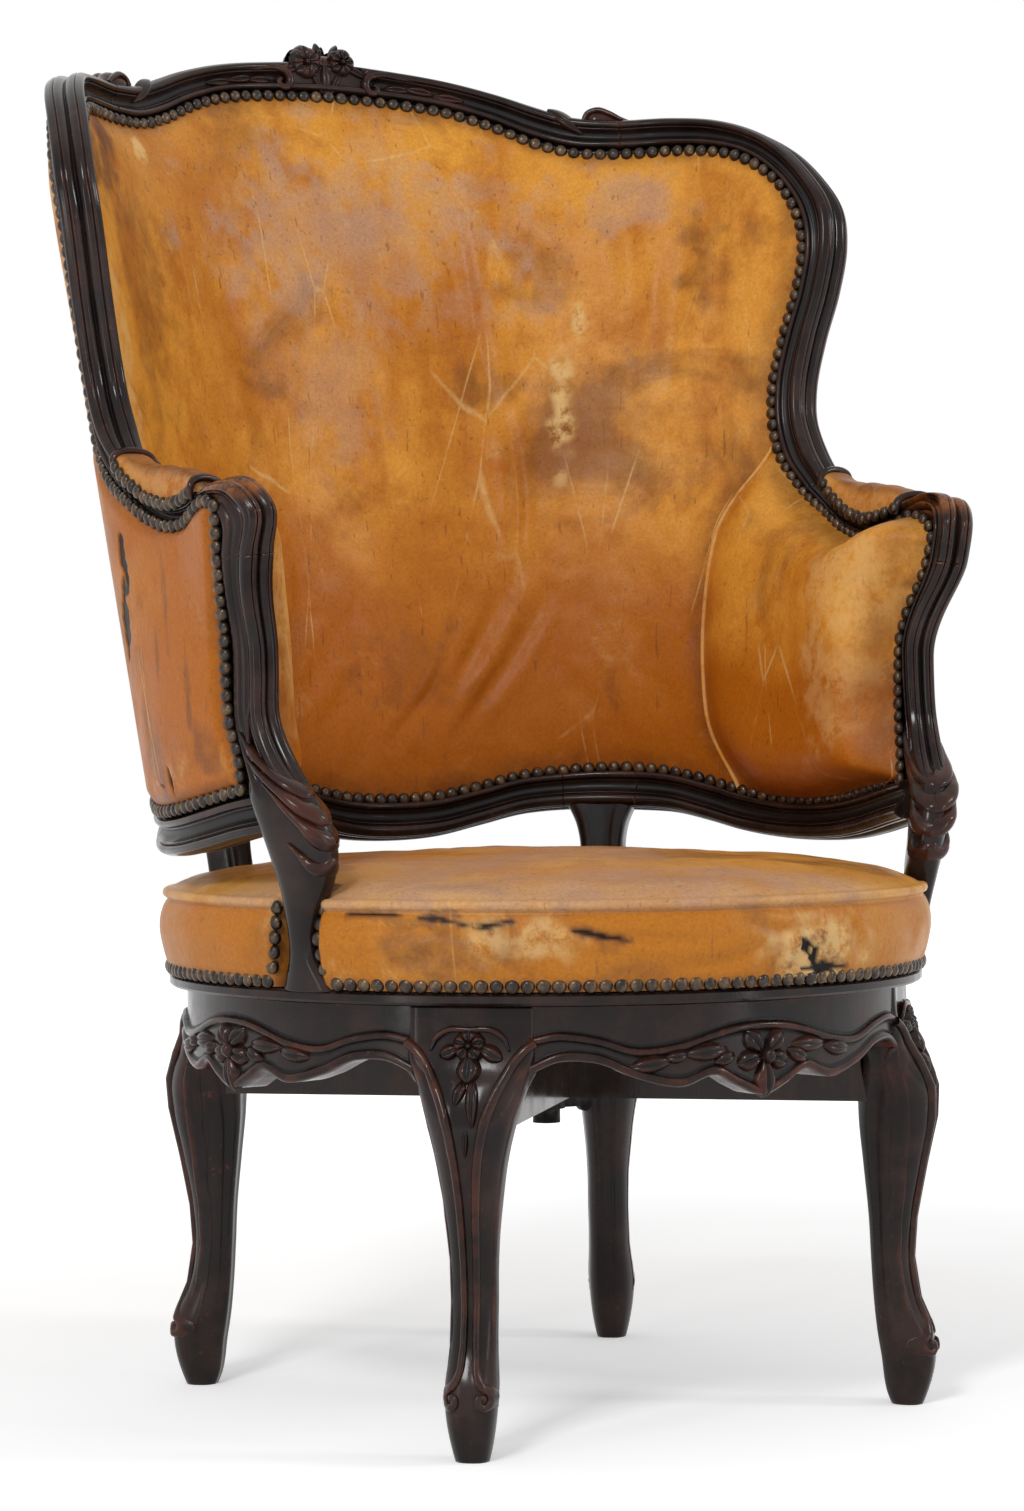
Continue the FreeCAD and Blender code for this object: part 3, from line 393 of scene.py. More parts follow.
class Shader:
    """A material's node tree with short ways to add nodes; its tone is the colour built up so far."""

    def __init__(self, name, tone, **constants):
        self.material = bpy.data.materials.new(name)
        self.material.use_nodes = True
        self.tree = self.material.node_tree
        self.bsdf = self.tree.nodes["Principled BSDF"]
        for socket, value in constants.items():
            self.bsdf.inputs[socket.replace("_", " ")].default_value = value
        self.place = self.node("TexCoord", "Object", {})
        self.tone = tone

    def node(self, kind, output, inputs, **settings):
        """Adds a node, puts values or links into its inputs, and gives one of its outputs."""
        node = self.tree.nodes.new("ShaderNode" + kind)
        for key, value in settings.items():
            setattr(node, key, value)
        for key, value in inputs.items():
            self.put(value, node.inputs[key])
        return node.outputs[output]

    def put(self, value, socket):
        if isinstance(value, bpy.types.NodeSocket):
            self.tree.links.new(value, socket)
        else:
            socket.default_value = value

    def stretched(self, stretch):
        """The place on the object, scaled and turned by six numbers."""
        if stretch is None:
            return self.place
        inputs = {"Vector": self.place, "Scale": stretch[:3], "Rotation": stretch[3:]}
        return self.node("Mapping", "Vector", inputs)

    def noise(self, scale, detail=4.0, rough=0.55, stretch=None, distortion=0.0):
        inputs = {"Scale": scale, "Detail": detail, "Roughness": rough, "Distortion": distortion,
                  "Vector": self.stretched(stretch)}
        return self.node("TexNoise", "Fac", inputs)

    def cells(self, scale, feature, stretch=None):
        inputs = {"Scale": scale, "Vector": self.stretched(stretch)}
        return self.node("TexVoronoi", "Distance", inputs, feature=feature)

    def painted(self, name):
        return self.node("Attribute", "Fac", {}, attribute_name=name)

    def ramp(self, value, low, high, start=0.0, end=1.0):
        """Goes from start to end as the value passes from low to high."""
        inputs = {"Value": value, "From Min": low, "From Max": high, "To Min": start, "To Max": end}
        return self.node("MapRange", "Result", inputs, interpolation_type="SMOOTHSTEP")

    def math(self, operation, a, b):
        return self.node("Math", 0, {0: a, 1: b}, operation=operation)

    def times(self, a, b):
        return self.math("MULTIPLY", a, b)

    def plus(self, a, b):
        return self.math("ADD", a, b)

    def over(self, share, tone, kind="MIX"):
        """Lays a colour over the tone."""
        inputs = {0: share, 6: self.tone, 7: tone}
        self.tone = self.node("Mix", 2, inputs, data_type="RGBA", blend_type=kind)

    def bump(self, height, depth, strength, normal=None):
        inputs = {"Strength": strength, "Distance": depth, "Height": height}
        if normal is not None:
            inputs["Normal"] = normal
        return self.node("Bump", "Normal", inputs)

    def finish(self, rough, normal):
        for socket, value in {"Base Color": self.tone, "Roughness": rough, "Normal": normal}.items():
            self.put(value, self.bsdf.inputs[socket])
        return self.material


def colour(red, green, blue):
    """A display colour (0 to 255) as the linear colour that shaders take."""
    parts = [value / 255.0 for value in (red, green, blue)]
    return tuple(p / 12.92 if p < 0.04045 else ((p + 0.055) / 1.055) ** 2.4 for p in parts) + (1.0,)


def make_wood(name, dark, plain, worn):
    """Old dark polish over brown wood, rubbed through on the edges; painted shade in grooves, painted
    highlight on ridges.
    """
    s = Shader(name, dark, Specular_IOR_Level=0.19, Coat_Weight=0.05, Coat_Roughness=0.08)
    ridge = s.painted("ridge")
    patchy = s.noise(24.0, 5.0)
    grain = s.noise(60.0, 6.0, 0.6, (1.0, 1.0, 0.12, 0.0, 0.0, 0.0))
    s.over(s.ramp(patchy, 0.40, 0.72), plain)
    s.over(s.ramp(grain, 0.52, 0.75, 0.0, 0.4), plain)
    scuffed = s.times(s.ramp(ridge, 0.30, 0.95), s.ramp(s.noise(26.0, 7.0, 0.72), 0.40, 0.66, 0.10, 1.0))
    s.over(s.times(scuffed, 0.75), worn)
    s.over(s.times(s.painted("worn"), s.ramp(s.noise(70.0, 6.0, 0.7), 0.36, 0.62)), colour(150, 88, 40))
    # Painted shade: near-black laid into the grooves and hollows, where shade falls.
    groove = s.ramp(ridge, -0.45, -0.02, 0.95, 0.0)
    s.over(groove, colour(7, 5, 6))
    # Painted highlight, partly rubbed wear: a lighter red-brown speckled over the raised parts.
    wear_and_painted_highlight = s.times(s.ramp(s.noise(120.0, 4.0, 0.7), 0.62, 0.74), s.ramp(ridge, 0.0, 0.3, 0.1, 0.5))
    s.over(wear_and_painted_highlight, colour(112, 62, 40))
    rough = s.ramp(s.plus(patchy, s.times(groove, 0.6)), 0.3, 1.0, 0.15, 0.46)
    normal = s.bump(grain, 0.0004, 0.35)
    return s.finish(rough, s.bump(s.noise(260.0, 4.0, 0.6), 0.0002, 0.35, normal))


def make_leather(name, light, deep, stain, pale, scratched):
    """Tan leather with stains, rubbed places, scratches and grain, and a painted sheen."""
    s = Shader(name, light, Specular_IOR_Level=0.15, Coat_Weight=0.03, Coat_Roughness=0.34)
    broad = s.noise(5.0)
    mottled = s.noise(22.0, 6.0, 0.65)
    s.over(s.ramp(s.plus(broad, s.painted("deep")), 0.42, 0.84), deep)
    s.over(s.ramp(mottled, 0.45, 0.72, 0.0, 0.7), deep)
    s.over(s.ramp(s.noise(15.0, 7.0, 0.7), 0.56, 0.78, 0.0, 0.45), pale)
    streak = s.noise(13.0, 5.0, 0.6, (1.0, 1.0, 0.22, 0.0, 0.0, 0.0))
    s.over(s.ramp(streak, 0.50, 0.72, 0.0, 0.75), deep)
    s.over(s.times(s.ramp(s.noise(8.0, 6.0, 0.62, None, 0.8), 0.52, 0.74), 0.6), stain)
    s.over(s.times(s.painted("dark"), s.ramp(s.noise(34.0, 6.0, 0.7), 0.30, 0.60, 0.35, 1.0)), stain)
    # Painted sheen: a pale grey-violet reflection of the light laid into the colour.
    s.over(s.times(s.painted("haze"), s.ramp(mottled, 0.30, 0.66, 0.3, 0.75)), colour(186, 156, 138))
    fleck = s.ramp(s.noise(210.0, 3.0, 0.6), 0.60, 0.72)
    s.over(s.times(fleck, s.ramp(broad, 0.40, 0.65, 0.1, 0.5)), stain)
    first, second = (s.ramp(s.cells(scale, "DISTANCE_TO_EDGE", (1.0, 1.0, 0.3) + turn), 0.0, 0.009, 0.7, 0.0)
                     for scale, turn in ((7.0, (0.3, 0.75, 0.2)), (9.0, (-0.2, -0.9, 0.4))))
    scratch = s.math("MAXIMUM", first, second)
    scratch = s.times(scratch, s.ramp(s.noise(9.0, 4.0, 0.6), 0.50, 0.64, 0.0, scratched))
    s.over(scratch, pale)
    s.over(s.ramp(s.noise(340.0, 5.0, 0.75), 0.36, 0.66, 0.34, 0.0), colour(206, 168, 120), "MULTIPLY")
    hair = s.ramp(s.noise(38.0, 2.0, 0.5, (6.0, 6.0, 0.5, 0.4, 0.0, 0.5)), 0.68, 0.72, 0.0, 0.4)
    s.over(hair, stain)
    rubbed = s.painted("pale")
    s.over(s.times(rubbed, s.ramp(s.noise(60.0, 6.0, 0.75), 0.34, 0.56)), pale)
    s.over(s.painted("hole"), colour(14, 9, 7))
    rough = s.ramp(s.plus(mottled, s.times(rubbed, 0.5)), 0.3, 1.0, 0.36, 0.68)
    normal = s.bump(s.cells(420.0, "F1"), 0.00025, 0.35)
    normal = s.bump(s.noise(90.0, 5.0, 0.6), 0.0009, 0.4, normal)
    normal = s.bump(s.noise(30.0, 4.0, 0.6, (1.0, 1.0, 0.35, 0.0, 0.0, 0.0)), 0.0016, 0.4, normal)
    return s.finish(rough, s.bump(s.plus(scratch, hair), 0.0004, -0.4, normal))


def make_metal(name, base, bright, rough_low, rough_high, scale, metallic=1.0):
    s = Shader(name, base, Metallic=metallic)
    s.over(s.ramp(s.noise(scale, 4.0, 0.6), 0.4, 0.68), bright)
    s.over(s.ramp(s.painted("ridge"), -0.8, -0.1, 0.7, 0.0), colour(24, 18, 14))
    rough = s.ramp(s.noise(scale * 3.0, 3.0), 0.3, 0.7, rough_low, rough_high)
    return s.finish(rough, s.bump(s.noise(scale * 5.0, 3.0), 0.0002, 0.3))


def make_webbing():
    """Jute straps in a plain weave."""
    s = Shader("webbing", colour(88, 66, 42), Specular_IOR_Level=0.2)
    inputs = {"Scale": 95.0, "Distortion": 0.6, "Vector": s.place}
    warp, weft = (s.node("TexWave", "Fac", inputs, wave_type="BANDS", bands_direction=way) for way in "XY")
    weave = s.times(warp, weft)
    fibre = s.noise(240.0)
    s.over(s.ramp(s.plus(weave, fibre), 0.3, 1.2), colour(168, 138, 98))
    return s.finish(s.ramp(fibre, 0.3, 0.7, 0.75, 0.95), s.bump(weave, 0.0006, 0.7))


WOOD = make_wood("carved_wood", colour(24, 16, 14), colour(49, 33, 28), colour(92, 46, 30))
BAR_WOOD = make_wood("bar_wood", colour(40, 28, 24), colour(70, 52, 42), colour(100, 70, 50))
BACK_LEATHER = make_leather("back_leather", colour(225, 158, 60), colour(178, 102, 20), colour(102, 58, 30),
                            colour(226, 188, 124), 0.85)
SEAT_LEATHER = make_leather("seat_leather", colour(222, 166, 84), colour(186, 117, 36), colour(112, 73, 50),
                            colour(224, 190, 132), 0.3)
NAILS = make_metal("nails", colour(44, 36, 31), colour(96, 76, 55), 0.24, 0.40, 90.0, 0.55)
IRON = make_metal("iron", colour(30, 28, 28), colour(62, 58, 56), 0.40, 0.62, 60.0)
STEEL = make_metal("screw_steel", colour(92, 88, 84), colour(140, 136, 130), 0.35, 0.55, 80.0)
WEBBING = make_webbing()


def wood(name, parts, node, body="seat"):
    piece(name, parts, WOOD, body, [node])


def leather(name, parts, node, fill):
    piece(name, parts, BACK_LEATHER, "seat", [node])


def both(make, name, parts, node, *rest):
    """Makes a piece on the +X side and its mirror image."""
    make(name + "_right", parts, node + "_right", *rest)
    make(name + "_left", [mirror(part) for part in parts], node + "_left", *rest)


# Frame members, through rows of (nail angle, nail height, free angle, free height, half, shear, extra offset)


def member(rows, profile):
    """A moulded member: one closed outline at each row of its line."""
    halves, shears, extras = rows[:, 4:].T
    inner = back_point(rows[:, 0], rows[:, 1], extras)
    across = back_point(rows[:, 2], rows[:, 3], extras) - inner
    width = np.linalg.norm(across, axis=1)[:, None]
    across /= width
    normal = outward(0.5 * (rows[:, 0] + rows[:, 2]), -BACK_FLARE)
    normal = unit(normal - across * (normal * across).sum(1, keepdims=True))
    u = profile[..., 0] * width / MOULDING_WIDTH
    v = profile[..., 1] * halves[:, None] / MOULDING_HALF
    u = u - shears[:, None] * v * (1 - np.clip(u / width, 0, 1))
    return inner[:, None] + across[:, None] * u[..., None] + normal[:, None] * v[..., None]


def blended(first, second, share):
    return first * (1 - share[:, None, None]) + second * share[:, None, None]


# the moulding on both faces as one closed outline, and its forms behind the flower and on the support
half_profile = spline(MOULDING, 92)
PROFILE = np.concatenate([half_profile, half_profile[-2::-1] * (1, -1)])[None]
within_ground = ease(PROFILE[..., 0], (9, 11)) * (1 - ease(PROFILE[..., 0], (26, 30)))
GROUND_PROFILE = PROFILE.copy()
GROUND_PROFILE[..., 1] += within_ground * (CREST_GROUND * np.sign(PROFILE[..., 1]) - PROFILE[..., 1])
BARE_PROFILE = PROFILE.copy()
BARE_PROFILE[..., 0] = np.maximum(PROFILE[..., 0], 1.5)
neck_turn = np.radians(np.linspace(-168, 168, PROFILE.shape[1]))
neck_u = 13.5 + 16.5 * powered(np.cos(neck_turn), 0.8)
NECK_PROFILE = np.stack([neck_u, 15 * powered(np.sin(neck_turn), 0.7)], -1)[None]


def crest_outline(angle, height):
    return blended(GROUND_PROFILE, PROFILE, ease(np.abs(angle), (5.6, 6.6)))


def support_outline(angle, height):
    lower = blended(NECK_PROFILE, BARE_PROFILE, ease(height, (NAILED_ABOVE, 178)))
    return blended(lower, PROFILE, ease(height, (172, 200)))


def swept(stations, step=2.0, outline=None):
    """A member through stations, with the moulding or an outline from a function of angle and height."""
    count = int(line_length(stations, FRAME_SCALE) / (1.4 * step)) + 2
    rows = spline(stations, count, FRAME_SCALE)
    return member(rows, PROFILE if outline is None else outline(rows[:, 0], rows[:, 1]))


def plain(line, half, shear=0.0):
    return [tuple(station) + (half, shear, 0) for station in line]


# Carved ornament: shapes on a flat ground with x along, y across, lift off it, and whether they close round


def leaf(length, width, rise, belly=0.8, vein=0.4):
    """A leaf along x: rounded across, grooved down the middle, its rim below the ground."""
    along = np.linspace(0.02, 0.98, 19)[:, None]
    across = np.linspace(-1, 1, 17)[None, :]
    y = 0.5 * width * np.sin(math.pi * along ** belly) ** 0.75 * across
    dome = np.sin(math.pi * along) ** 0.5 * (1 - np.abs(across) ** 3)
    groove = vein * rise * np.exp(-(across / 0.16) ** 2) * np.sin(math.pi * along)
    lift = (rise + LEAF_SINK) * dome - LEAF_SINK - groove
    return np.stack([np.broadcast_to(length * along, y.shape), y, lift], -1), False


def placed(shape, x, y, turn, lift=0.0):
    points, closes = shape
    cosine, sine = math.cos(math.radians(turn)), math.sin(math.radians(turn))
    return np.stack([x + cosine * points[..., 0] - sine * points[..., 1],
                     y + sine * points[..., 0] + cosine * points[..., 1], lift + points[..., 2]], -1), closes


def leaves(rows):
    """Leaves from rows of (length, width, rise, belly, x, y, turn, lift)."""
    return [placed(leaf(*row[:4]), *row[4:]) for row in rows]


def boss(x, y, radius, rise, lift=0.0):
    return placed(leaf(2 * radius, 2 * radius, rise, 1, 0), x - radius, y, 0, lift)


def bloom(x, y, radius, petals, rise, turn, lift):
    """A flower: round petals in two levels about a boss."""
    petal = leaf(radius, 1.2 * radius, rise, 1.5, 0.5)
    shapes = [placed(petal, x, y, turn + 360 * index / petals, lift + index % 2) for index in range(petals)]
    return shapes + [boss(x, y, 0.28 * radius, 1.25 * rise, lift)]


def bead(path, depth=1.0):
    """A rounded strip through rows of (x, y, lift, radius)."""
    path = np.asarray(path, float)
    rows = spline(path, int(line_length(path[:, :3]) / 1.4) + 8, np.array([1, 1, 1, 0]))
    along = unit(np.gradient(rows[:, :2], axis=0))
    ring = np.linspace(math.tau, 0, 14, endpoint=False)[None, :]
    x = rows[:, :1] - along[:, 1:] * rows[:, 3:] * np.cos(ring)
    y = rows[:, 1:2] + along[:, :1] * rows[:, 3:] * np.cos(ring)
    return capped(np.stack([x, y, rows[:, 2:3] + depth * rows[:, 3:] * np.sin(ring)], -1)), True


def carved(shapes, place):
    """Mesh parts of ornament, set on the object by a function of x, y and lift."""
    parts = []
    for points, closes in shapes:
        points = place(*np.moveaxis(points, -1, 0))
        parts.append(sheet(points, closes, ridge=0.7 * ridges(points, closes)))
    return parts


# Crest and wings


def crest_ornament():
    """Flower spray, cartouche scrolls with pods, and shoulder volutes, on both faces of the crest."""
    spray = leaves([
        (38, 13, 5.5, 0.8, 0, 764, 90, 10), (31, 9, 4.5, 0.8, -2, 765, 118, 10),
        (31, 9, 4.5, 0.8, 2, 765, 62, 10), (28, 12, 5, 0.8, -24, 793, 200, 9.5),
        (32, 11, 5, 0.8, 18, 796, -26, 9.5), (16, 8, 4, 0.8, -4, 799, 98, 10), (15, 8, 4, 0.8, 9, 801, 66, 9),
    ])
    spray += bloom(-19, 796, 16, 6, 6, 100, 11) + bloom(17, 798, 13.5, 5, 6, 70, 11)
    scroll = [
        (104, 781, 13, 0.6), (74, 785.5, 13.5, 2.4), (52, 788, 14, 3.4), (42, 785, 14, 3.8),
        (38.5, 778, 14, 3.8), (42, 771.5, 13.5, 3.4), (48.5, 771.5, 13, 3), (50, 777, 13, 2.6),
        (46.5, 778.5, 13, 1.8),
    ]
    volute = [
        (303, 741, 0, 3), (287, 742.5, 0, 4.5), (273, 746, 0, 7), (261, 749, 0, 10), (252, 748, 0, 10.5),
        (244, 744, 0, 6),
    ]
    rim = [
        (281, 747, 1.5), (269, 753.5, 2.2), (257, 757, 2.6), (247, 753, 2.6), (245, 745, 2.5),
        (252, 741.5, 2.4), (258, 746, 2.2), (254, 750, 1.8),
    ]
    ground = [(-42, 782, 0, 1), (-24, 790, 0, 8), (0, 794, 0, 11), (24, 791, 0, 8), (42, 782, 0, 1)]
    solid = [bead(ground, 1.05)]
    for side in (-1, 1):
        spray.append(bead(sided(scroll, side)))
        for x, y, length, drop in ((56, 776, 27, -3), (76, 776.5, 31, -9), (101, 770.5, 34, -7)):
            spray.append(placed(leaf(length, 12, 6.5, 1), side * x, y, drop if side > 0 else 180 - drop, 9))
        spray.append(placed(leaf(42, 14, 5.5, 0.9, 0.3), side * 210, 759, -36 if side > 0 else 216, 12.5))
        solid.append(bead(sided(volute, side), 1.15))
        for lift in (-9.5, 9.5):
            solid.append(bead([(side * x, y, lift, radius) for x, y, radius in rim], 1.3))
    parts = []
    for face in (-1, 1):
        parts += carved(spray, lambda x, y, lift: back_point(-face * x / CREST_DEGREE, y, face * lift))
    return parts + carved(solid, lambda x, y, lift: back_point(x / CREST_DEGREE, y, -lift))


crest_stations = symmetric(plain(CREST_LINE, FRAME_HALF), (0, 2))
wood("carved_crest", [tube(swept(crest_stations, 1.6, crest_outline))] + crest_ornament(), "crest_rail")
wing_stations = plain(WING_LINE[:-1], FRAME_HALF) + plain(WING_LINE[-1:], ARM_HALF)
both(wood, "carved_wing", [tube(swept(wing_stations))], "wing")

# Arm supports


def support_ornament():
    """Nested lips round the front of the support, a roll below them and a curl on each face."""
    heights, rears, fronts, extras, halves = np.array(SUPPORT_STATIONS)[::-1].T

    def at(y, column):
        return np.interp(y, heights, column)

    shapes = []
    for y, half, reach, radius in ((158, 10, -4.5, 8.5), (140, 11.5, -4, 10), (120, 11, -4.5, 9.5)):
        lip = [(0, y - 1, reach, 1.05 * radius), (0.66 * half, y + 3, reach - 2, radius),
               (1.05 * half, y + 18, -15, 0.75 * radius), (1.1 * half, y + 42, -27, 2)]
        shapes.append(bead(symmetric(lip), 0.8))
    roll = [(0, 100, -4.5, 9.5), (7.5, 101, -6.5, 8.5), (12, 107, -17, 5), (12.5, 118, -30, 2)]
    shapes.append(bead(symmetric(roll), 0.85))
    parts = carved(shapes, lambda x, y, lift: back_point(at(y, fronts) + lift / DEGREE, y, at(y, extras) + x))
    curl, closes = bead([
        (15, 232, 0, 0.8), (8, 205, 0.5, 2), (5, 186, 0.5, 2.4), (8, 172, 1, 2.6), (15, 168, 1, 2.6),
        (19, 174, 1, 2.4), (15, 179, 1, 1.8),
    ])
    for face, points in ((-1, curl), (1, curl[:, ::-1])):
        parts += carved([(points, closes)], lambda x, y, lift: back_point(
            at(y, rears) + (10 - SUPPORT_SHEAR * face * 8 + x) / DEGREE, y,
            at(y, extras) + face * (at(y, halves) - 2.5 + lift)))
    return parts


support_stations = [(rear, z, front, z, half, SUPPORT_SHEAR * ease(z, (NAILED_ABOVE, 200)), extra)
                    for z, rear, front, extra, half in SUPPORT_STATIONS]
support_parts = [tube(swept(support_stations, 1.6, support_outline))] + support_ornament()
both(wood, "carved_support", support_parts, "arm_support")

# Lower rail and rear posts


def rail(start, end):
    """The lower rail between two angles."""
    half = [(a, top, a, low, RAIL_HALF, 0, 0) for a, top, low in LOWER_RAIL_LINE]
    rows = spline(symmetric(half, (0, 2)), 900, FRAME_SCALE)
    rows = rows[(rows[:, 0] >= start - 0.2) & (rows[:, 0] <= end + 0.2)]
    return tube(member(rows, PROFILE)[:, ::-1])


def post_column():
    """Rear post: a rounded square with a shallow hollow along its faces."""
    rows = spline(POST_STATIONS, 60)
    turn = np.linspace(0, math.tau, 96, endpoint=False)[None, :]
    side = powered(np.cos(turn), 0.42)
    hollow = 1 - 0.10 * np.exp(-(side / 0.45) ** 2)
    angle = POST_ANGLE + np.degrees(0.5 * rows[:, 1:] * side / BACK_RADIUS)
    return tube(back_point(angle, rows[:, :1], POST_HALF * powered(np.sin(turn), 0.42) * hollow)[:, ::-1])


wood("carved_lower_rail_back", [rail(-POST_START, POST_START)], "lower_rail_back")
both(wood, "carved_lower_rail", [rail(POST_END, RAIL_END)], "lower_rail")
both(wood, "carved_post", [rail(POST_START, POST_END), post_column()], "rear_post")

# Base


def on_base(t, r, z, angle):
    """Places points given across, outward and up on the base, turned by an angle from the front."""
    around = np.radians(BASE_TURN + angle) + t / BASE_RADIUS
    radius = BASE_RADIUS + r
    return np.stack([radius * np.sin(around), -radius * np.cos(around), z], -1)


def leg_points():
    """Cabriole leg: across, outward, bent to the curve of the base; rows go up."""
    rows = spline(LEG_STATIONS, 180, np.array([1, 1, 1, 0.3]))
    height, inner, outer, width = (rows[:, i:i + 1] for i in range(4))
    block = ease(height, LEG_BLOCK)
    curved = [(0, 0), (0.02, 0.5), (0.30, 0.93), (0.52, 1), (0.72, 0.93), (0.93, 0.62), (1, 0.30), (1, 0)]
    square = [(0, 0), (0, 0.7), (0, 1), (0.4, 1), (0.94, 1), (1, 0.97), (1, 0.6), (1, 0)]
    soft, hard = spline(curved, 50), spline(square, 50)
    r = inner + (outer - inner) * ((1 - block) * soft[None, :, 0] + block * hard[None, :, 0])
    t = 0.5 * width * ((1 - block) * soft[None, :, 1] + block * hard[None, :, 1])
    r = np.concatenate([r, r[:, -2:0:-1]], axis=1)
    t = np.concatenate([t, -t[:, -2:0:-1]], axis=1)
    return t, r, np.broadcast_to(height, t.shape)


def leg_face(t, z):
    """Outward place of the front face of a leg."""
    heights, inners, outers, widths = np.array(LEG_STATIONS).T
    inner, outer, half = (np.interp(z, heights, column) for column in (inners, outers, 0.5 * widths))
    share = np.interp(np.abs(t) / half, (0, 0.30, 0.62, 0.93, 1), (1, 1, 0.93, 0.72, 0.52))
    block = ease(z, LEG_BLOCK)
    return inner + (outer - inner) * ((1 - block) * share + block)


def leg_ornament():
    """Twin beads that part round a flower drop at the knee and end in volutes at the foot."""
    shapes = bloom(0, 303, 12.5, 5, 5.5, 90, 1.5)
    shapes += leaves([
        (21, 14, 5, 1.3, -4, 303, 205, 0), (25, 15, 5, 1.2, 4, 304, -30, 0),
        (24, 20, 7, 1.2, 0.5, 299, -90, 1.5), (22, 11, 5, 0.8, -2, 279, -106, 0),
        (40, 12, 5.5, 0.8, 4, 281, -88, 0), (26, 6, 4, 0.8, 1, 246, -92, 0),
    ])
    arch = [(0, 314, 1.5, 2.4), (17, 313.5, 1.5, 2.4), (24, 309, 1.5, 2.2), (29, 299, 0.5, 1)]
    shapes.append(bead(symmetric(arch)))
    twin = [
        (48, 304.5, 1, 3.6), (43, 302, 1.6, 3.7), (35, 294, 2, 3.8), (25, 278, 2, 3.8), (15, 254, 1.8, 3.7),
        (9, 225, 1.4, 3.4), (6.2, 195, 1, 3.1), (4.8, 150, 0.7, 2.8), (4.4, 110, 0.7, 2.6),
        (4.8, 80, 0.7, 2.7), (6, 66, 0.8, 2.9), (10.5, 57, 1.2, 3.1), (15.6, 53, 1.4, 3.1),
        (17.2, 47, 1.4, 3.1), (13, 41.5, 1.4, 3), (8.4, 44, 1.4, 2.8), (9.4, 49.6, 1.6, 2.4),
        (12.6, 48.6, 1.8, 1.8),
    ]
    edge = [(0.5 * width - 1.6, z, -0.6, 2) for z, inner, outer, width in LEG_STATIONS[2:11]]
    edge.append((46, 284, 0.5, 2.6))
    for side in (-1, 1):
        shapes.append(bead(sided(twin, side)))
        shapes.append(boss(side * 12.5, 47.5, 5.5, 2))
        shapes.append(bead(sided(edge, side)))
    return shapes


def apron_points():
    """Serpentine apron: closed outlines across, from one leg to the next."""
    span = (45 - LEG_HALF_ANGLE + 0.5) * math.pi / 180 * BASE_RADIUS
    rows = spline(symmetric(APRON_STATIONS), 260, np.array([span, 1, 1]))
    low = BASE_TOP - rows[:, 1:2]
    high = BASE_TOP - rows[:, 2:3]
    z = low + np.linspace(0, 1, 56)[None, :] * (BASE_TOP - low)
    out = 4.5 * np.sqrt(np.clip(1 - ((z - low - 3.6) / 4) ** 2, 0, 1))
    out = np.maximum(out, 4 * np.sqrt(np.clip(1 - ((z - high + 3.5) / 3.5) ** 2, 0, 1)))
    out = np.maximum(out, 1.2 * ease(high - z, (0, 4)))
    z = np.concatenate([z, np.full_like(low, BASE_TOP), 0.5 * (low + BASE_TOP), low], axis=1)
    r = np.concatenate([out, np.full((len(low), 3), -BASE_WALL)], axis=1)
    return np.broadcast_to(rows[:, :1] * span, z.shape), r, z


def apron_ornament():
    """Open flower at the middle of the apron with a leaf spray to each side."""
    shapes = leaves([(length, width, 7.5, 1.35, 0, 291, turn, 1) for turn, length, width in (
        (131, 25, 20), (42, 26, 18), (196, 25, 19), (-16, 25, 19), (-86, 33, 22))])
    shapes.append(placed(leaf(17, 13, 10, 1, 0), 1, 299, -82, 1.5))
    spray = [
        (-24, 293, 19, 11, 198), (-29, 297, 36, 13, 186), (-62, 294, 20, 10, 188), (-74, 290, 35, 12, 188),
        (22, 294, 22, 11, -24), (25, 297, 37, 12, -2), (60, 294, 32, 12, -8),
    ]
    for x, y, length, width, turn in spray:
        shapes.append(placed(leaf(1.08 * length, 1.3 * width, 6.5, 0.95, 0.25), x, y, turn, 1))
    return shapes


leg_net = leg_points()
for name, turn in {"front_left": -45, "front_right": 45, "rear_right": 135, "rear_left": 225}.items():
    leg = capped(on_base(*leg_net, turn))
    # Ridge values of the leg, damped on its block: they drive the rubbed wear, the painted highlight and the
    # painted groove shade.
    leg_ridge = ridges(leg, True) * (1 - 0.85 * ease(leg[..., 2], (280, 296)))
    parts = carved(leg_ornament(), lambda x, y, lift: on_base(x, leg_face(x, y) + lift, y, turn))
    wood("carved_leg_" + name, [sheet(leg, True, ridge=leg_ridge)] + parts, "leg_" + name, "base")

apron_net = apron_points()
for name, turn in {"front": 0, "right": 90, "rear": 180, "left": 270}.items():
    parts = carved(apron_ornament(), lambda x, y, lift: on_base(x, lift, y, turn))
    wood("carved_apron_" + name, [tube(on_base(*apron_net, turn))] + parts, "apron_" + name, "base")

# Leather of the back


def patch(bottom, top, left, right, rows, columns):
    """A net of (angle, height) places between four edge lines that share their corners."""
    bottom, top = spline(bottom, columns, PLACE_SCALE)[None], spline(top, columns, PLACE_SCALE)[None]
    left, right = spline(left, rows, PLACE_SCALE)[:, None], spline(right, rows, PLACE_SCALE)[:, None]
    u = np.linspace(0, 1, columns)[None, :, None]
    v = np.linspace(0, 1, rows)[:, None, None]
    corners = ((1 - u) * (1 - v) * bottom[:, :1] + u * (1 - v) * bottom[:, -1:]
               + (1 - u) * v * top[:, :1] + u * v * top[:, -1:])
    net = (1 - u) * left + u * right + (1 - v) * bottom + v * top - corners
    return net[..., 0], net[..., 1], u[..., 0], v[..., 0]


rail_nails = [(a, top) for a, top, low in LOWER_RAIL_LINE]
crest_nails, wing_nails, arm_nails = ([row[:2] for row in line] for line in (CREST_LINE, WING_LINE, ARM_LINE))


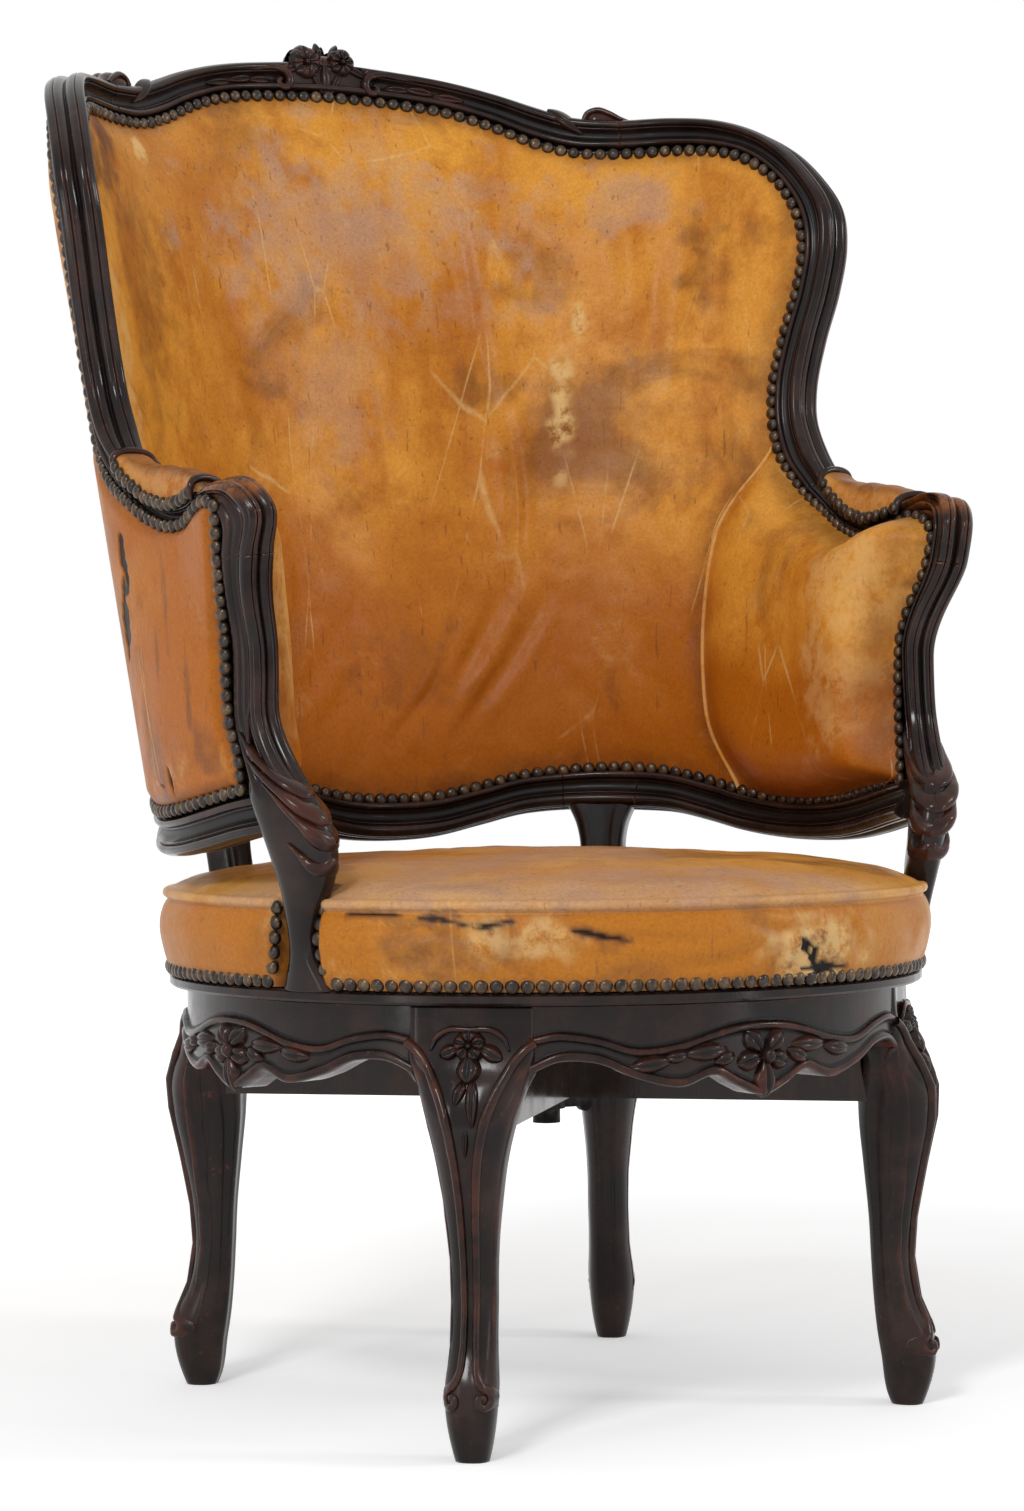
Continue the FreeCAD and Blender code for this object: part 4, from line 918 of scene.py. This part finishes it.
def back_net():
    half_top = crest_nails + wing_nails[1:5]
    side = SEAM_LINE + wing_nails[11:4:-1] + [half_top[-1]]
    return patch(symmetric(rail_nails[:10]), symmetric(half_top), sided(side, -1), side, 220, 300)


def arm_corner(side):
    """Lower front corner of the arm leather."""
    return rail_nails[-2][0] + 4 - 2 * side, rail_nails[-2][1] + 2


def front_line(side):
    """Nailed line of the arm leather at the support, on the inside (-1) or outside (1)."""
    shift = -side * SUPPORT_SHEAR * 12 / DEGREE
    line = [(rear + shift, z) for z, rear, front, extra, half in reversed(SUPPORT_STATIONS[1:5])]
    return line + [(a + shift, z) for a, z in (arm_nails[9], arm_nails[8])] + [arm_nails[7]]


def arm_net(side):
    front = [arm_corner(side)] + front_line(side)
    top = [SEAM_LINE[-1], wing_nails[-2]] + arm_nails[:8]
    return patch(rail_nails[9:-2] + [front[0]], top, SEAM_LINE, front, 150, 170)


def swell(u, v, power=4.0):
    return (1 - np.abs(2 * u - 1) ** power) * (1 - np.abs(2 * v - 1) ** power)


def to_edge(u, v, wide=1, tall=1):
    """Distance to the nearest edge of a net of the given size."""
    return np.minimum(np.minimum(u, 1 - u) * wide, np.minimum(v, 1 - v) * tall)


def seam_rise(height):
    """How far the padding lifts the seam between back and arm off the frame."""
    return SEAM_SWELL * ease(height, (140, 215)) * (1 - ease(height, (370, 443)))


def blotch(angle, height, seed, places):
    """Painted strength from soft spots of (angle, height, half width in mm, half height in mm, strength)."""
    total = np.zeros(np.shape(angle))
    x = angle * DEGREE
    ragged = 0.35 * cloud(x, height, 22, seed) + 0.25 * cloud(x, height, 9, seed + 1)
    for a, z, wide, tall, strength in places:
        away = np.hypot((x - a * DEGREE) / wide, (height - z) / tall) + ragged
        total = np.maximum(total, strength * (1 - ease(away, (0.35, 1))))
    return total


def creases(angle, height, folds):
    """Folds of (depth, width, line of places) in the leather, each with a soft rise beside it."""
    total = 0
    for depth, width, line in folds:
        away, share = distance_to(np.array(line) * PLACE_SCALE, angle * DEGREE, height)
        fade = np.sin(math.pi * np.clip(share, 0.04, 0.96)) ** 0.6
        beside = 0.45 * np.exp(-((away - 2.2 * width) / width) ** 2)
        total = total + fade * depth * (np.exp(-(away / width) ** 2) - beside)
    return total


def tears(angle, height, rows, times=1, more=0):
    """1 inside ragged tears of (width, seed, line of places); the width is multiplied and added to."""
    x = angle * DEGREE
    total = np.zeros(x.shape)
    for width, seed, line in rows:
        away, share = distance_to(np.array(line) * PLACE_SCALE, x, height)
        ragged = 0.6 + 0.9 * cloud(x, height, 14, seed) + 0.5 * cloud(x, height, 5, seed + 1)
        reach = (times * width + more) * ragged * np.sin(math.pi * np.clip(share, 0.05, 0.95)) ** 0.5
        total = np.maximum(total, 1 - ease(away - reach, (-0.6, 1.2)))
    return total


# Inside and outside back

angle, height, u, v = back_net()
x = angle * DEGREE
folds = creases(angle, height, [
    (4.5, 7, [(17, 700), (17.5, 640), (19, 560), (22, 470)]),
    (4, 5, [(24, 480), (25, 400), (24, 330)]),
    (5, 9, [(6, 200), (15, 262), (25, 345)]),
    (4, 7, [(0, 190), (8, 235), (15, 310)]),
    (3.5, 7, [(12, 195), (22, 255), (30, 320)]),
    (2, 12, [(-28, 640), (-26, 560), (-22, 480)]),
    (3, 8, [(-52, 440), (-60, 480), (-66, 530)]),
    (3, 9, [(40, 690), (44, 640), (45, 560)]),
    (3, 9, [(54, 640), (52, 580), (51, 500)]),
    (2.5, 7, [(47, 250), (53, 280), (58, 320)]),
])
loose = 1.8 * cloud(x, height, 70, 3) + 0.9 * cloud(x, height, 28, 4) + 0.35 * cloud(x, height, 11, 5)
inside = INSIDE_EDGE - BACK_SWELL * swell(u, v) - (loose - 0.8 * folds) * np.sqrt(swell(u, v, 8.0))
inside = inside - seam_rise(height) * np.abs(2 * u - 1) ** 4
# Darker towards the nailed edges, where the leather meets the frame.
edge_darkening = 1 - ease(to_edge(u, v, 640, 560), (4, 26))
dark = blotch(angle, height, 11, [
    (-58, 670, 60, 60, 0.9), (-50, 560, 50, 140, 0.45), (20, 500, 40, 26, 0.5), (30, 600, 40, 40, 0.4),
    (5, 250, 80, 40, 0.35), (56, 610, 26, 50, 0.6)])
pale = blotch(angle, height, 21, [
    (33, 480, 14, 70, 0.9), (36, 560, 10, 20, 0.8), (-40, 690, 10, 12, 0.9), (-64, 480, 30, 120, 0.5)])
# Painted sheen: the reflection of the light over the upper middle of the inside back.
haze = blotch(angle, height, 23, [(2, 640, 190, 110, 0.8), (-6, 500, 60, 90, 0.5), (44, 668, 60, 40, 0.7)])
back_part = inward(back_point(angle, height, inside), dark=np.maximum(dark, 0.55 * edge_darkening), pale=pale,
                   deep=0.4 * ease(-height, (-480, -150)), haze=haze)
leather("leather_inside_back", [back_part], "inside_back", 0.8)

outside = OUTSIDE_EDGE + OUTSIDE_SWELL * ease(to_edge(u, v), (0, 0.04)) + 0.8 * cloud(x, height, 60, 7)
outside_part = sheet(back_point(angle, height, outside), dark=0.5 * edge_darkening)
leather("leather_outside_back", [outside_part], "outside_back", 0.9)

# Inside arms, each with the welt of its seam

seam = spline(SEAM_LINE, 120, PLACE_SCALE)
welt_ring = np.linspace(math.tau, 0, 12, endpoint=False)[None, :]
welt_points = back_point(seam[:, :1] + WELT_RADIUS * np.cos(welt_ring) / DEGREE, seam[:, 1:],
                         INSIDE_EDGE - seam_rise(seam[:, 1:]) - 0.8 + WELT_RADIUS * np.sin(welt_ring))
welt = sheet(capped(welt_points), True, pale=0.45)

angle, height, u, v = arm_net(-1)
loose = 1.2 * cloud(angle * DEGREE, height, 40, 31)
inside = INSIDE_EDGE - ARM_SWELL * swell(u, v, 4 + 8 * u) - loose * swell(u, v, 8.0)
inside = inside - seam_rise(height) * np.clip(1 - 2 * u, 0, 1) ** 4
# Darker towards the nailed edges, not at the seam.
edge_darkening = 1 - ease(np.minimum((1 - u) * 260, np.minimum(v, 1 - v) * 230), (3, 18))
pale = blotch(angle, height, 33, [(103, 320, 70, 66, 0.42), (101, 255, 56, 84, 0.36)])
dark = np.maximum(0.5 * edge_darkening, blotch(angle, height, 35, [(111.5, 265, 15, 70, 0.9)]))
arm_part = inward(back_point(angle, height, inside), dark=dark, pale=pale * (1 - dark),
                  deep=0.5 * ease(-height, (-300, -170)))
both(leather, "leather_inside_arm", [arm_part, welt], "inside_arm", 0.8)

# Outside arms, the left one torn

angle, height, u, v = arm_net(1)
outside = OUTSIDE_EDGE + OUTSIDE_SWELL * ease(to_edge(u, v), (0, 0.06))
# Darker towards the nailed edges.
edge_darkening = 1 - ease(to_edge(u, v, 260, 230), (3, 18))
torn = tears(angle, height, [
    (8.5, 41, [(79.5, 352), (78.5, 324), (76.5, 300), (76, 280), (75, 256)]),
    (2.6, 43, [(88, 172), (88.6, 162), (89, 154)]),
    (2.4, 44, [(84, 159), (87, 156)]),
])
streak = blotch(angle, height, 45, [
    (92, 300, 5, 40, 0.5), (97, 220, 6, 40, 0.6), (88, 250, 5, 30, 0.5), (101, 190, 30, 30, 0.6)])
arm_tone = {"dark": np.maximum(0.5 * edge_darkening, streak), "deep": 0.34}
right_arm = sheet(back_point(angle, height, outside), **arm_tone)
left_arm = mirror(sheet(back_point(angle, height, outside - 1.5 * torn), hole=torn, **arm_tone))
leather("leather_outside_arm_right", [right_arm], "outside_arm_right", 0.9)
leather("leather_outside_arm_left", [left_arm], "outside_arm_left", 0.9)

# Arm pads, and the arms with the collars round the ends of the pads


def arm_pad():
    """Padded leather on the arm: a rounded top whose sides come down to the nails."""
    rows = spline(PAD_STATIONS, 90, PLACE_SCALE)
    free = np.array([line[2:] for line in ARM_LINE])
    base = np.interp(rows[:, 0], free[:, 0], free[:, 1])[:, None]
    turn = np.radians(np.linspace(-90, 90, 61))[None, :]
    side = powered(np.sin(turn), 0.75)
    crown = np.abs(np.cos(turn)) ** 0.8
    rise = rows[:, 1:] + 0.9 * cloud(DEGREE * rows[:, :1], 20 * side, 16, 61)
    points = back_point(rows[:, :1], base - PAD_DROP + (rise + PAD_DROP) * crown, PAD_HALF * side)
    points = ended(points, lambda end: 0.5 * (end[:, :1] + end[:, -1:]), (0, 0.5, 0.98))
    return points, crown, base[:, 0], rows[:, 0]


def collar(angle, base, rise):
    """A carved ring round the end of the pad."""
    foot = base - PAD_DROP
    path = []
    for turn in np.radians(np.linspace(-100, 100, 11)):
        arch = (rise + PAD_DROP + 2) * max(math.cos(turn), 0) ** 0.8
        path.append(((PAD_HALF + 0.5) * math.sin(turn), foot + arch, 0, 3.2))
    for end in (0, -1):
        path[end] = (path[end][0], foot - 6, 0, 1.6)
    return carved([bead(path)], lambda x, y, lift: back_point(angle + lift / DEGREE, y, x))


pad_points, pad_crown, pad_base, pad_angle = arm_pad()
pad_wear = 0.75 * ease(pad_crown, (0.55, 0.95))
pad_part = sheet(pad_points, dark=pad_wear, pale=0.3 * (1 - pad_wear), deep=0.2)
both(leather, "leather_arm_pad", [pad_part], "arm_pad", 0.85)

arm_stations = plain(ARM_LINE[:ELBOW], ARM_HALF) + plain(ARM_LINE[ELBOW:], ARM_HALF, SUPPORT_SHEAR)
arm_points = capped(swept(arm_stations, 1.4))
arm_top = ease(arm_points[..., 2], (SEAT_BOTTOM + 366, SEAT_BOTTOM + 384))
arm_front = ease(-arm_points[..., 1], (50, 95))
arm_parts = [sheet(arm_points, True, worn=0.9 * arm_top * arm_front)]
arm_parts += collar(pad_angle[0], pad_base[0], PAD_STATIONS[0][1])
arm_parts += collar(pad_angle[-1], pad_base[-1], PAD_STATIONS[-1][1] - 3)
both(wood, "carved_arm", arm_parts, "arm")

# Seat


def seat_points():
    rows = spline(SEAT_PROFILE, SEAT_ROWS)
    turn = np.linspace(0, 360, SEAT_COLUMNS, endpoint=False)[None, :]
    radius = np.repeat(rows[:, :1], SEAT_COLUMNS, axis=1)
    height = np.repeat(rows[:, 1:], SEAT_COLUMNS, axis=1)
    away = np.abs((turn + 180) % 360 - 180)
    for place, wide, limit in ((POST_ANGLE, 4, 268), (SUPPORT_ANGLE, 2.8, 270)):
        near = 1 - ease(np.abs(away - place), (wide, wide + 2))
        radius = radius - near * np.maximum(radius - limit, 0)
    x, y = radius * np.sin(np.radians(turn)), radius * np.cos(np.radians(turn))
    height = height + 1.8 * cloud(x, y, 60, 51) * ease(302 - radius, (0, 60))
    height = height + 0.8 * cloud(x, y, 22, 52) * ease(height, (76, 84))
    return x, y, height, np.broadcast_to(turn, x.shape)


seat_x, seat_y, height, turn = seat_points()
border = 1 - ease(height, (66, 70))
cracks = [
    (2, 71, [(236, 66), (229, 66), (222, 63), (217, 57), (212, 62)]),
    (1.6, 75, [(204, 55), (196, 47)]),
    (7, 77, [(169.5, 44), (168, 32), (166.5, 24)]),
    (3.5, 79, [(169, 22), (160, 22)]),
]
hole = tears(turn, height, cracks)
dip = tears(turn, height, cracks, 3, 2)
wrinkle = creases(turn, height, [
    (2, 4, [(240, 50), (228, 54), (214, 50)]),
    (2.4, 4, [(208, 58), (198, 50), (184, 44)]),
    (2, 5, [(232, 24), (224, 34), (221, 46)]),
    (2.4, 4, [(180, 60), (172, 50), (166, 52)]),
    (2.2, 5, [(160, 60), (158, 44), (156, 26)]),
    (1.6, 5, [(190, 24), (181, 30), (176, 40)]),
])
spread = 1 + border * (0.9 * (dip - 2.6 * hole) - wrinkle) / SEAT_RADIUS
top_stain = blotch(seat_x / DEGREE, seat_y, 83, [
    (30, -170, 90, 40, 0.75), (42, -60, 60, 26, 0.7), (10, -120, 120, 70, 0.4), (-30, 60, 120, 90, 0.3)])
border_stain = border * blotch(turn, height, 85, [(224, 40, 60, 26, 0.6), (197, 20, 60, 14, 0.4)])
foot = 1 - ease(height, (12, 24))
dark = np.maximum(np.maximum(top_stain * (1 - border), border_stain), np.maximum(0.5 * foot, 0.6 * dip))
pale = border * blotch(turn, height, 87, [(166, 38, 60, 30, 0.7), (212, 48, 70, 20, 0.5)])
deep = border * (0.25 + 0.4 * ease(turn, (228, 250)))
# Painted sheen over the top of the seat.
haze = 0.9 * (1 - border) * ease(cloud(seat_x, seat_y, 90, 89), (-0.6, 0.5))
seat_grid = np.stack([seat_x * spread, seat_y * spread, SEAT_BOTTOM + height], -1)
seat_part = sheet(seat_grid, True, dark=dark, hole=hole, pale=pale, deep=deep, haze=haze)
piece("leather_seat", [seat_part], SEAT_LEATHER, "seat", ["seat_cushion"])

# Nails


def nail_part(points, normals, seed):
    """Dome nails at the given places, each a little tilted."""
    random = np.random.default_rng(seed)
    normals = unit(normals + random.normal(0.0, 0.06, normals.shape))
    side = unit(np.cross(normals, np.array([0, 0, 1]) + 0.01 * random.normal(size=normals.shape)))
    other = np.cross(normals, side)
    size = NAIL_RADIUS * random.uniform(0.95, 1.04, len(points))
    ring = np.linspace(0, math.tau, 14, endpoint=False)
    around = np.cos(ring)[:, None] * side[:, None] + np.sin(ring)[:, None] * other[:, None]
    radius, rise = NAIL_DOME.T[:, :, None, None]
    domes = radius * around[:, None] + rise * normals[:, None, None]
    domes = points[:, None, None] + size[:, None, None, None] * domes
    starts = len(NAIL_DOME) * len(ring) * np.arange(len(points))
    faces = quads(len(NAIL_DOME), len(ring), True)[:, ::-1] + starts[:, None, None]
    ridge = np.tile(np.repeat(NAIL_RIDGE, len(ring)), len(points))
    return domes.reshape(-1, 3), faces.reshape(-1, 4), {"ridge": ridge}


def nail_row(line, offset, seed):
    """Nails along a line of (angle, height) places, at an offset from the back surface."""
    rows = spline(line, 400, PLACE_SCALE)
    length = line_length(back_point(rows[:, 0], rows[:, 1], offset))
    rows = spline(line, max(int(round(length / NAIL_PITCH)), 1) + 1, PLACE_SCALE)
    normals = np.sign(offset) * outward(rows[:, 0], -BACK_FLARE)
    return nail_part(back_point(rows[:, 0], rows[:, 1], offset), normals, seed)


pad_line = [(a, z - PAD_DROP) for a, z in zip(pad_angle[3:-2], pad_base[3:-2])]
nail_parts = []
for side, offset in ((-1, INSIDE_EDGE - 1), (1, OUTSIDE_EDGE + 1)):
    upper = crest_nails + wing_nails[1:] + arm_nails[1:8] + front_line(side)[-2::-1] + [arm_corner(side)]
    for line, away, seed in ((upper, offset, side + 1), (rail_nails[:-1], offset, side + 11),
                             (pad_line, side * (PAD_HALF + 0.5), side + 30)):
        part = nail_row(line, away, seed)
        nail_parts += [part, mirror(part)]

# nails round the foot of the seat leather, and up both sides of each post and support
turn = np.arange(0, 360, math.degrees(NAIL_PITCH / RAIL_NAIL_RADIUS))
away = np.abs((turn + 180) % 360 - 180)
free = (np.abs(away - POST_ANGLE) > RAIL_NAIL_GAP) & (np.abs(away - SUPPORT_FOOT) > RAIL_NAIL_GAP)
out = outward(turn[free])
nail_parts.append(nail_part(out * RAIL_NAIL_RADIUS + (0, 0, SEAT_BOTTOM + RAIL_NAIL_HEIGHT), out, 77))
height = np.linspace(25, 69, 5)
for post, gaps in ((POST_ANGLE, (5.2, 5, 5)), (SUPPORT_ANGLE, (4.9, 4.1, 4.3))):
    for way in (-1, 1):
        out = outward(post + way * np.interp(height, (25, 47, 69), gaps))
        points = np.interp(height, (25, 47, 69), (300, 301.5, 298))[:, None] * out
        points[:, 2] = SEAT_BOTTOM + height
        part = nail_part(points, out, int(post + way) + 90)
        nail_parts += [part, mirror(part)]
piece("dome_nails", nail_parts, NAILS, "seat")

# Webbing

webbing_low = min(1000.0 * corner.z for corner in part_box("webbing"))
ring = np.linspace(math.tau, 0, 28, endpoint=False)[None, :]
strap_parts = []
for layer, way in ((0, 1), (1, -1)):
    for index, place in enumerate(STRAP_PLACES):
        reach = math.sqrt(STRAP_REACH ** 2 - (abs(place) + 0.5 * STRAP_WIDTH) ** 2)
        along = np.linspace(-reach, reach, 160)[:, None]
        weave = sum(way * (-1) ** (index + other) * np.exp(-((along - at) / 34) ** 4)
                    for other, at in enumerate(STRAP_PLACES))
        rise = webbing_low + STRAP_MIDDLE + 1.1 * weave + 0.9 * powered(np.sin(ring), 0.3)
        across = place + 0.5 * STRAP_WIDTH * powered(np.cos(ring), 0.3)
        along, across = np.broadcast_arrays(along, across)
        strap_parts.append(tube(np.stack([(along, across, rise), (-across, along, rise)][layer], -1)))
piece("woven_webbing", strap_parts, WEBBING, "seat", ["webbing"])

# Nodes that keep their solid shape
for material, nodes in ((BAR_WOOD, ("base_bar_long", "base_bar_short", "seat_bar_cross", "seat_bar_long")),
                        (IRON, ("pivot_plate", "spindle", "washer", "wing_nut")),
                        (STEEL, ("pivot_plate_screws", "spindle_screws")),
                        (WOOD, ("seat_rail_front", "seat_rail_right", "seat_rail_rear", "seat_rail_left"))):
    for node in nodes:
        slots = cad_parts[node].data.materials
        slots.clear()
        slots.append(material)

# Stage, light and camera


def seen_directly(tree):
    """1 for rays that show the background to the camera, in a mirror or through glass."""
    rays = tree.nodes.new("ShaderNodeLightPath")
    total = rays.outputs["Is Camera Ray"]
    for name in ("Is Glossy Ray", "Is Transmission Ray"):
        larger = tree.nodes.new("ShaderNodeMath")
        larger.operation = "MAXIMUM"
        tree.links.new(total, larger.inputs[0])
        tree.links.new(rays.outputs[name], larger.inputs[1])
        total = larger.outputs[0]
    return total


def make_floor():
    corners = [(x * FLOOR_HALF, y * FLOOR_HALF, 0.0) for x, y in ((-1, -1), (1, -1), (1, 1), (-1, 1))]
    mesh = bpy.data.meshes.new("floor")
    mesh.from_pydata(corners, [], [(0, 1, 2, 3)])
    floor = bpy.data.objects.new("floor", mesh)
    scene.collection.objects.link(floor)
    s = Shader("floor", colour(248, 248, 248), Specular_IOR_Level=0.1, Emission_Color=(1.0, 1.0, 1.0, 1.0))
    away = s.node("VectorMath", "Value", {0: s.place}, operation="LENGTH")
    glow = s.ramp(away, 0.5, 2.6, FLOOR_GLOW, FAR_GLOW)
    s.put(s.times(seen_directly(s.tree), glow), s.bsdf.inputs["Emission Strength"])
    s.over(s.noise(3.0, 2.0), colour(244, 245, 246))
    mesh.materials.append(s.finish(0.9, s.bump(s.noise(40.0), 0.0001, 0.1)))


def make_world():
    world = bpy.data.worlds.new("studio")
    world.use_nodes = True
    tree = world.node_tree
    background = tree.nodes["Background"]
    background.inputs["Color"].default_value = (1.0, 1.0, 1.0, 1.0)
    strength = tree.nodes.new("ShaderNodeMapRange")
    strength.inputs["To Min"].default_value = AMBIENT
    tree.links.new(seen_directly(tree), strength.inputs["Value"])
    tree.links.new(strength.outputs["Result"], background.inputs["Strength"])
    scene.world = world


def area_light(name, place, width, height, power):
    light = bpy.data.lights.new(name, "AREA")
    light.shape = "RECTANGLE"
    light.energy = power
    light.size = width
    light.size_y = height
    lamp = bpy.data.objects.new(name, light)
    lamp.location = place
    lamp.rotation_euler = (LIGHT_TARGET - Vector(place)).to_track_quat("-Z", "Y").to_euler()
    scene.collection.objects.link(lamp)


def place_camera():
    turn, pitch, yaw, roll = (math.radians(v) for v in (CAMERA_TURN, CAMERA_PITCH, CAMERA_YAW, CAMERA_ROLL))
    up = Vector((0.0, 0.0, 1.0))
    ahead = Vector((-math.sin(turn), math.cos(turn), 0.0))
    right = Vector((math.cos(turn), math.sin(turn), 0.0))
    ahead, right = (ahead * math.cos(yaw) + right * math.sin(yaw),
                    right * math.cos(yaw) - ahead * math.sin(yaw))
    ahead = ahead * math.cos(pitch) - up * math.sin(pitch)
    up = right.cross(ahead)
    right, up = right * math.cos(roll) + up * math.sin(roll), up * math.cos(roll) - right * math.sin(roll)
    data = bpy.data.cameras.new("camera")
    data.sensor_fit = "VERTICAL"
    data.sensor_height = 24.0
    data.lens = FOCAL_PIXELS / PICTURE_HEIGHT * data.sensor_height
    camera = bpy.data.objects.new("camera", data)
    place = Vector((math.sin(turn) * CAMERA_DISTANCE, -math.cos(turn) * CAMERA_DISTANCE, CAMERA_HEIGHT))
    camera.matrix_world = Matrix.Translation(place) @ Matrix((right, up, -ahead)).transposed().to_4x4()
    scene.collection.objects.link(camera)
    scene.camera = camera


scene = bpy.context.scene
scene.view_settings.view_transform = "Standard"
make_floor()
make_world()
area_light("key", (-2.4, -2.2, 2.9), 0.75, 0.75, 58.0)
area_light("fill", (2.8, -2.0, 2.4), 0.6, 0.6, 23.0)
area_light("left_strip", (-3.1, -1.2, 0.9), 0.22, 1.6, 11.0)
area_light("right_strip", (1.9, -3.0, 0.9), 0.22, 1.6, 8.0)
place_camera()
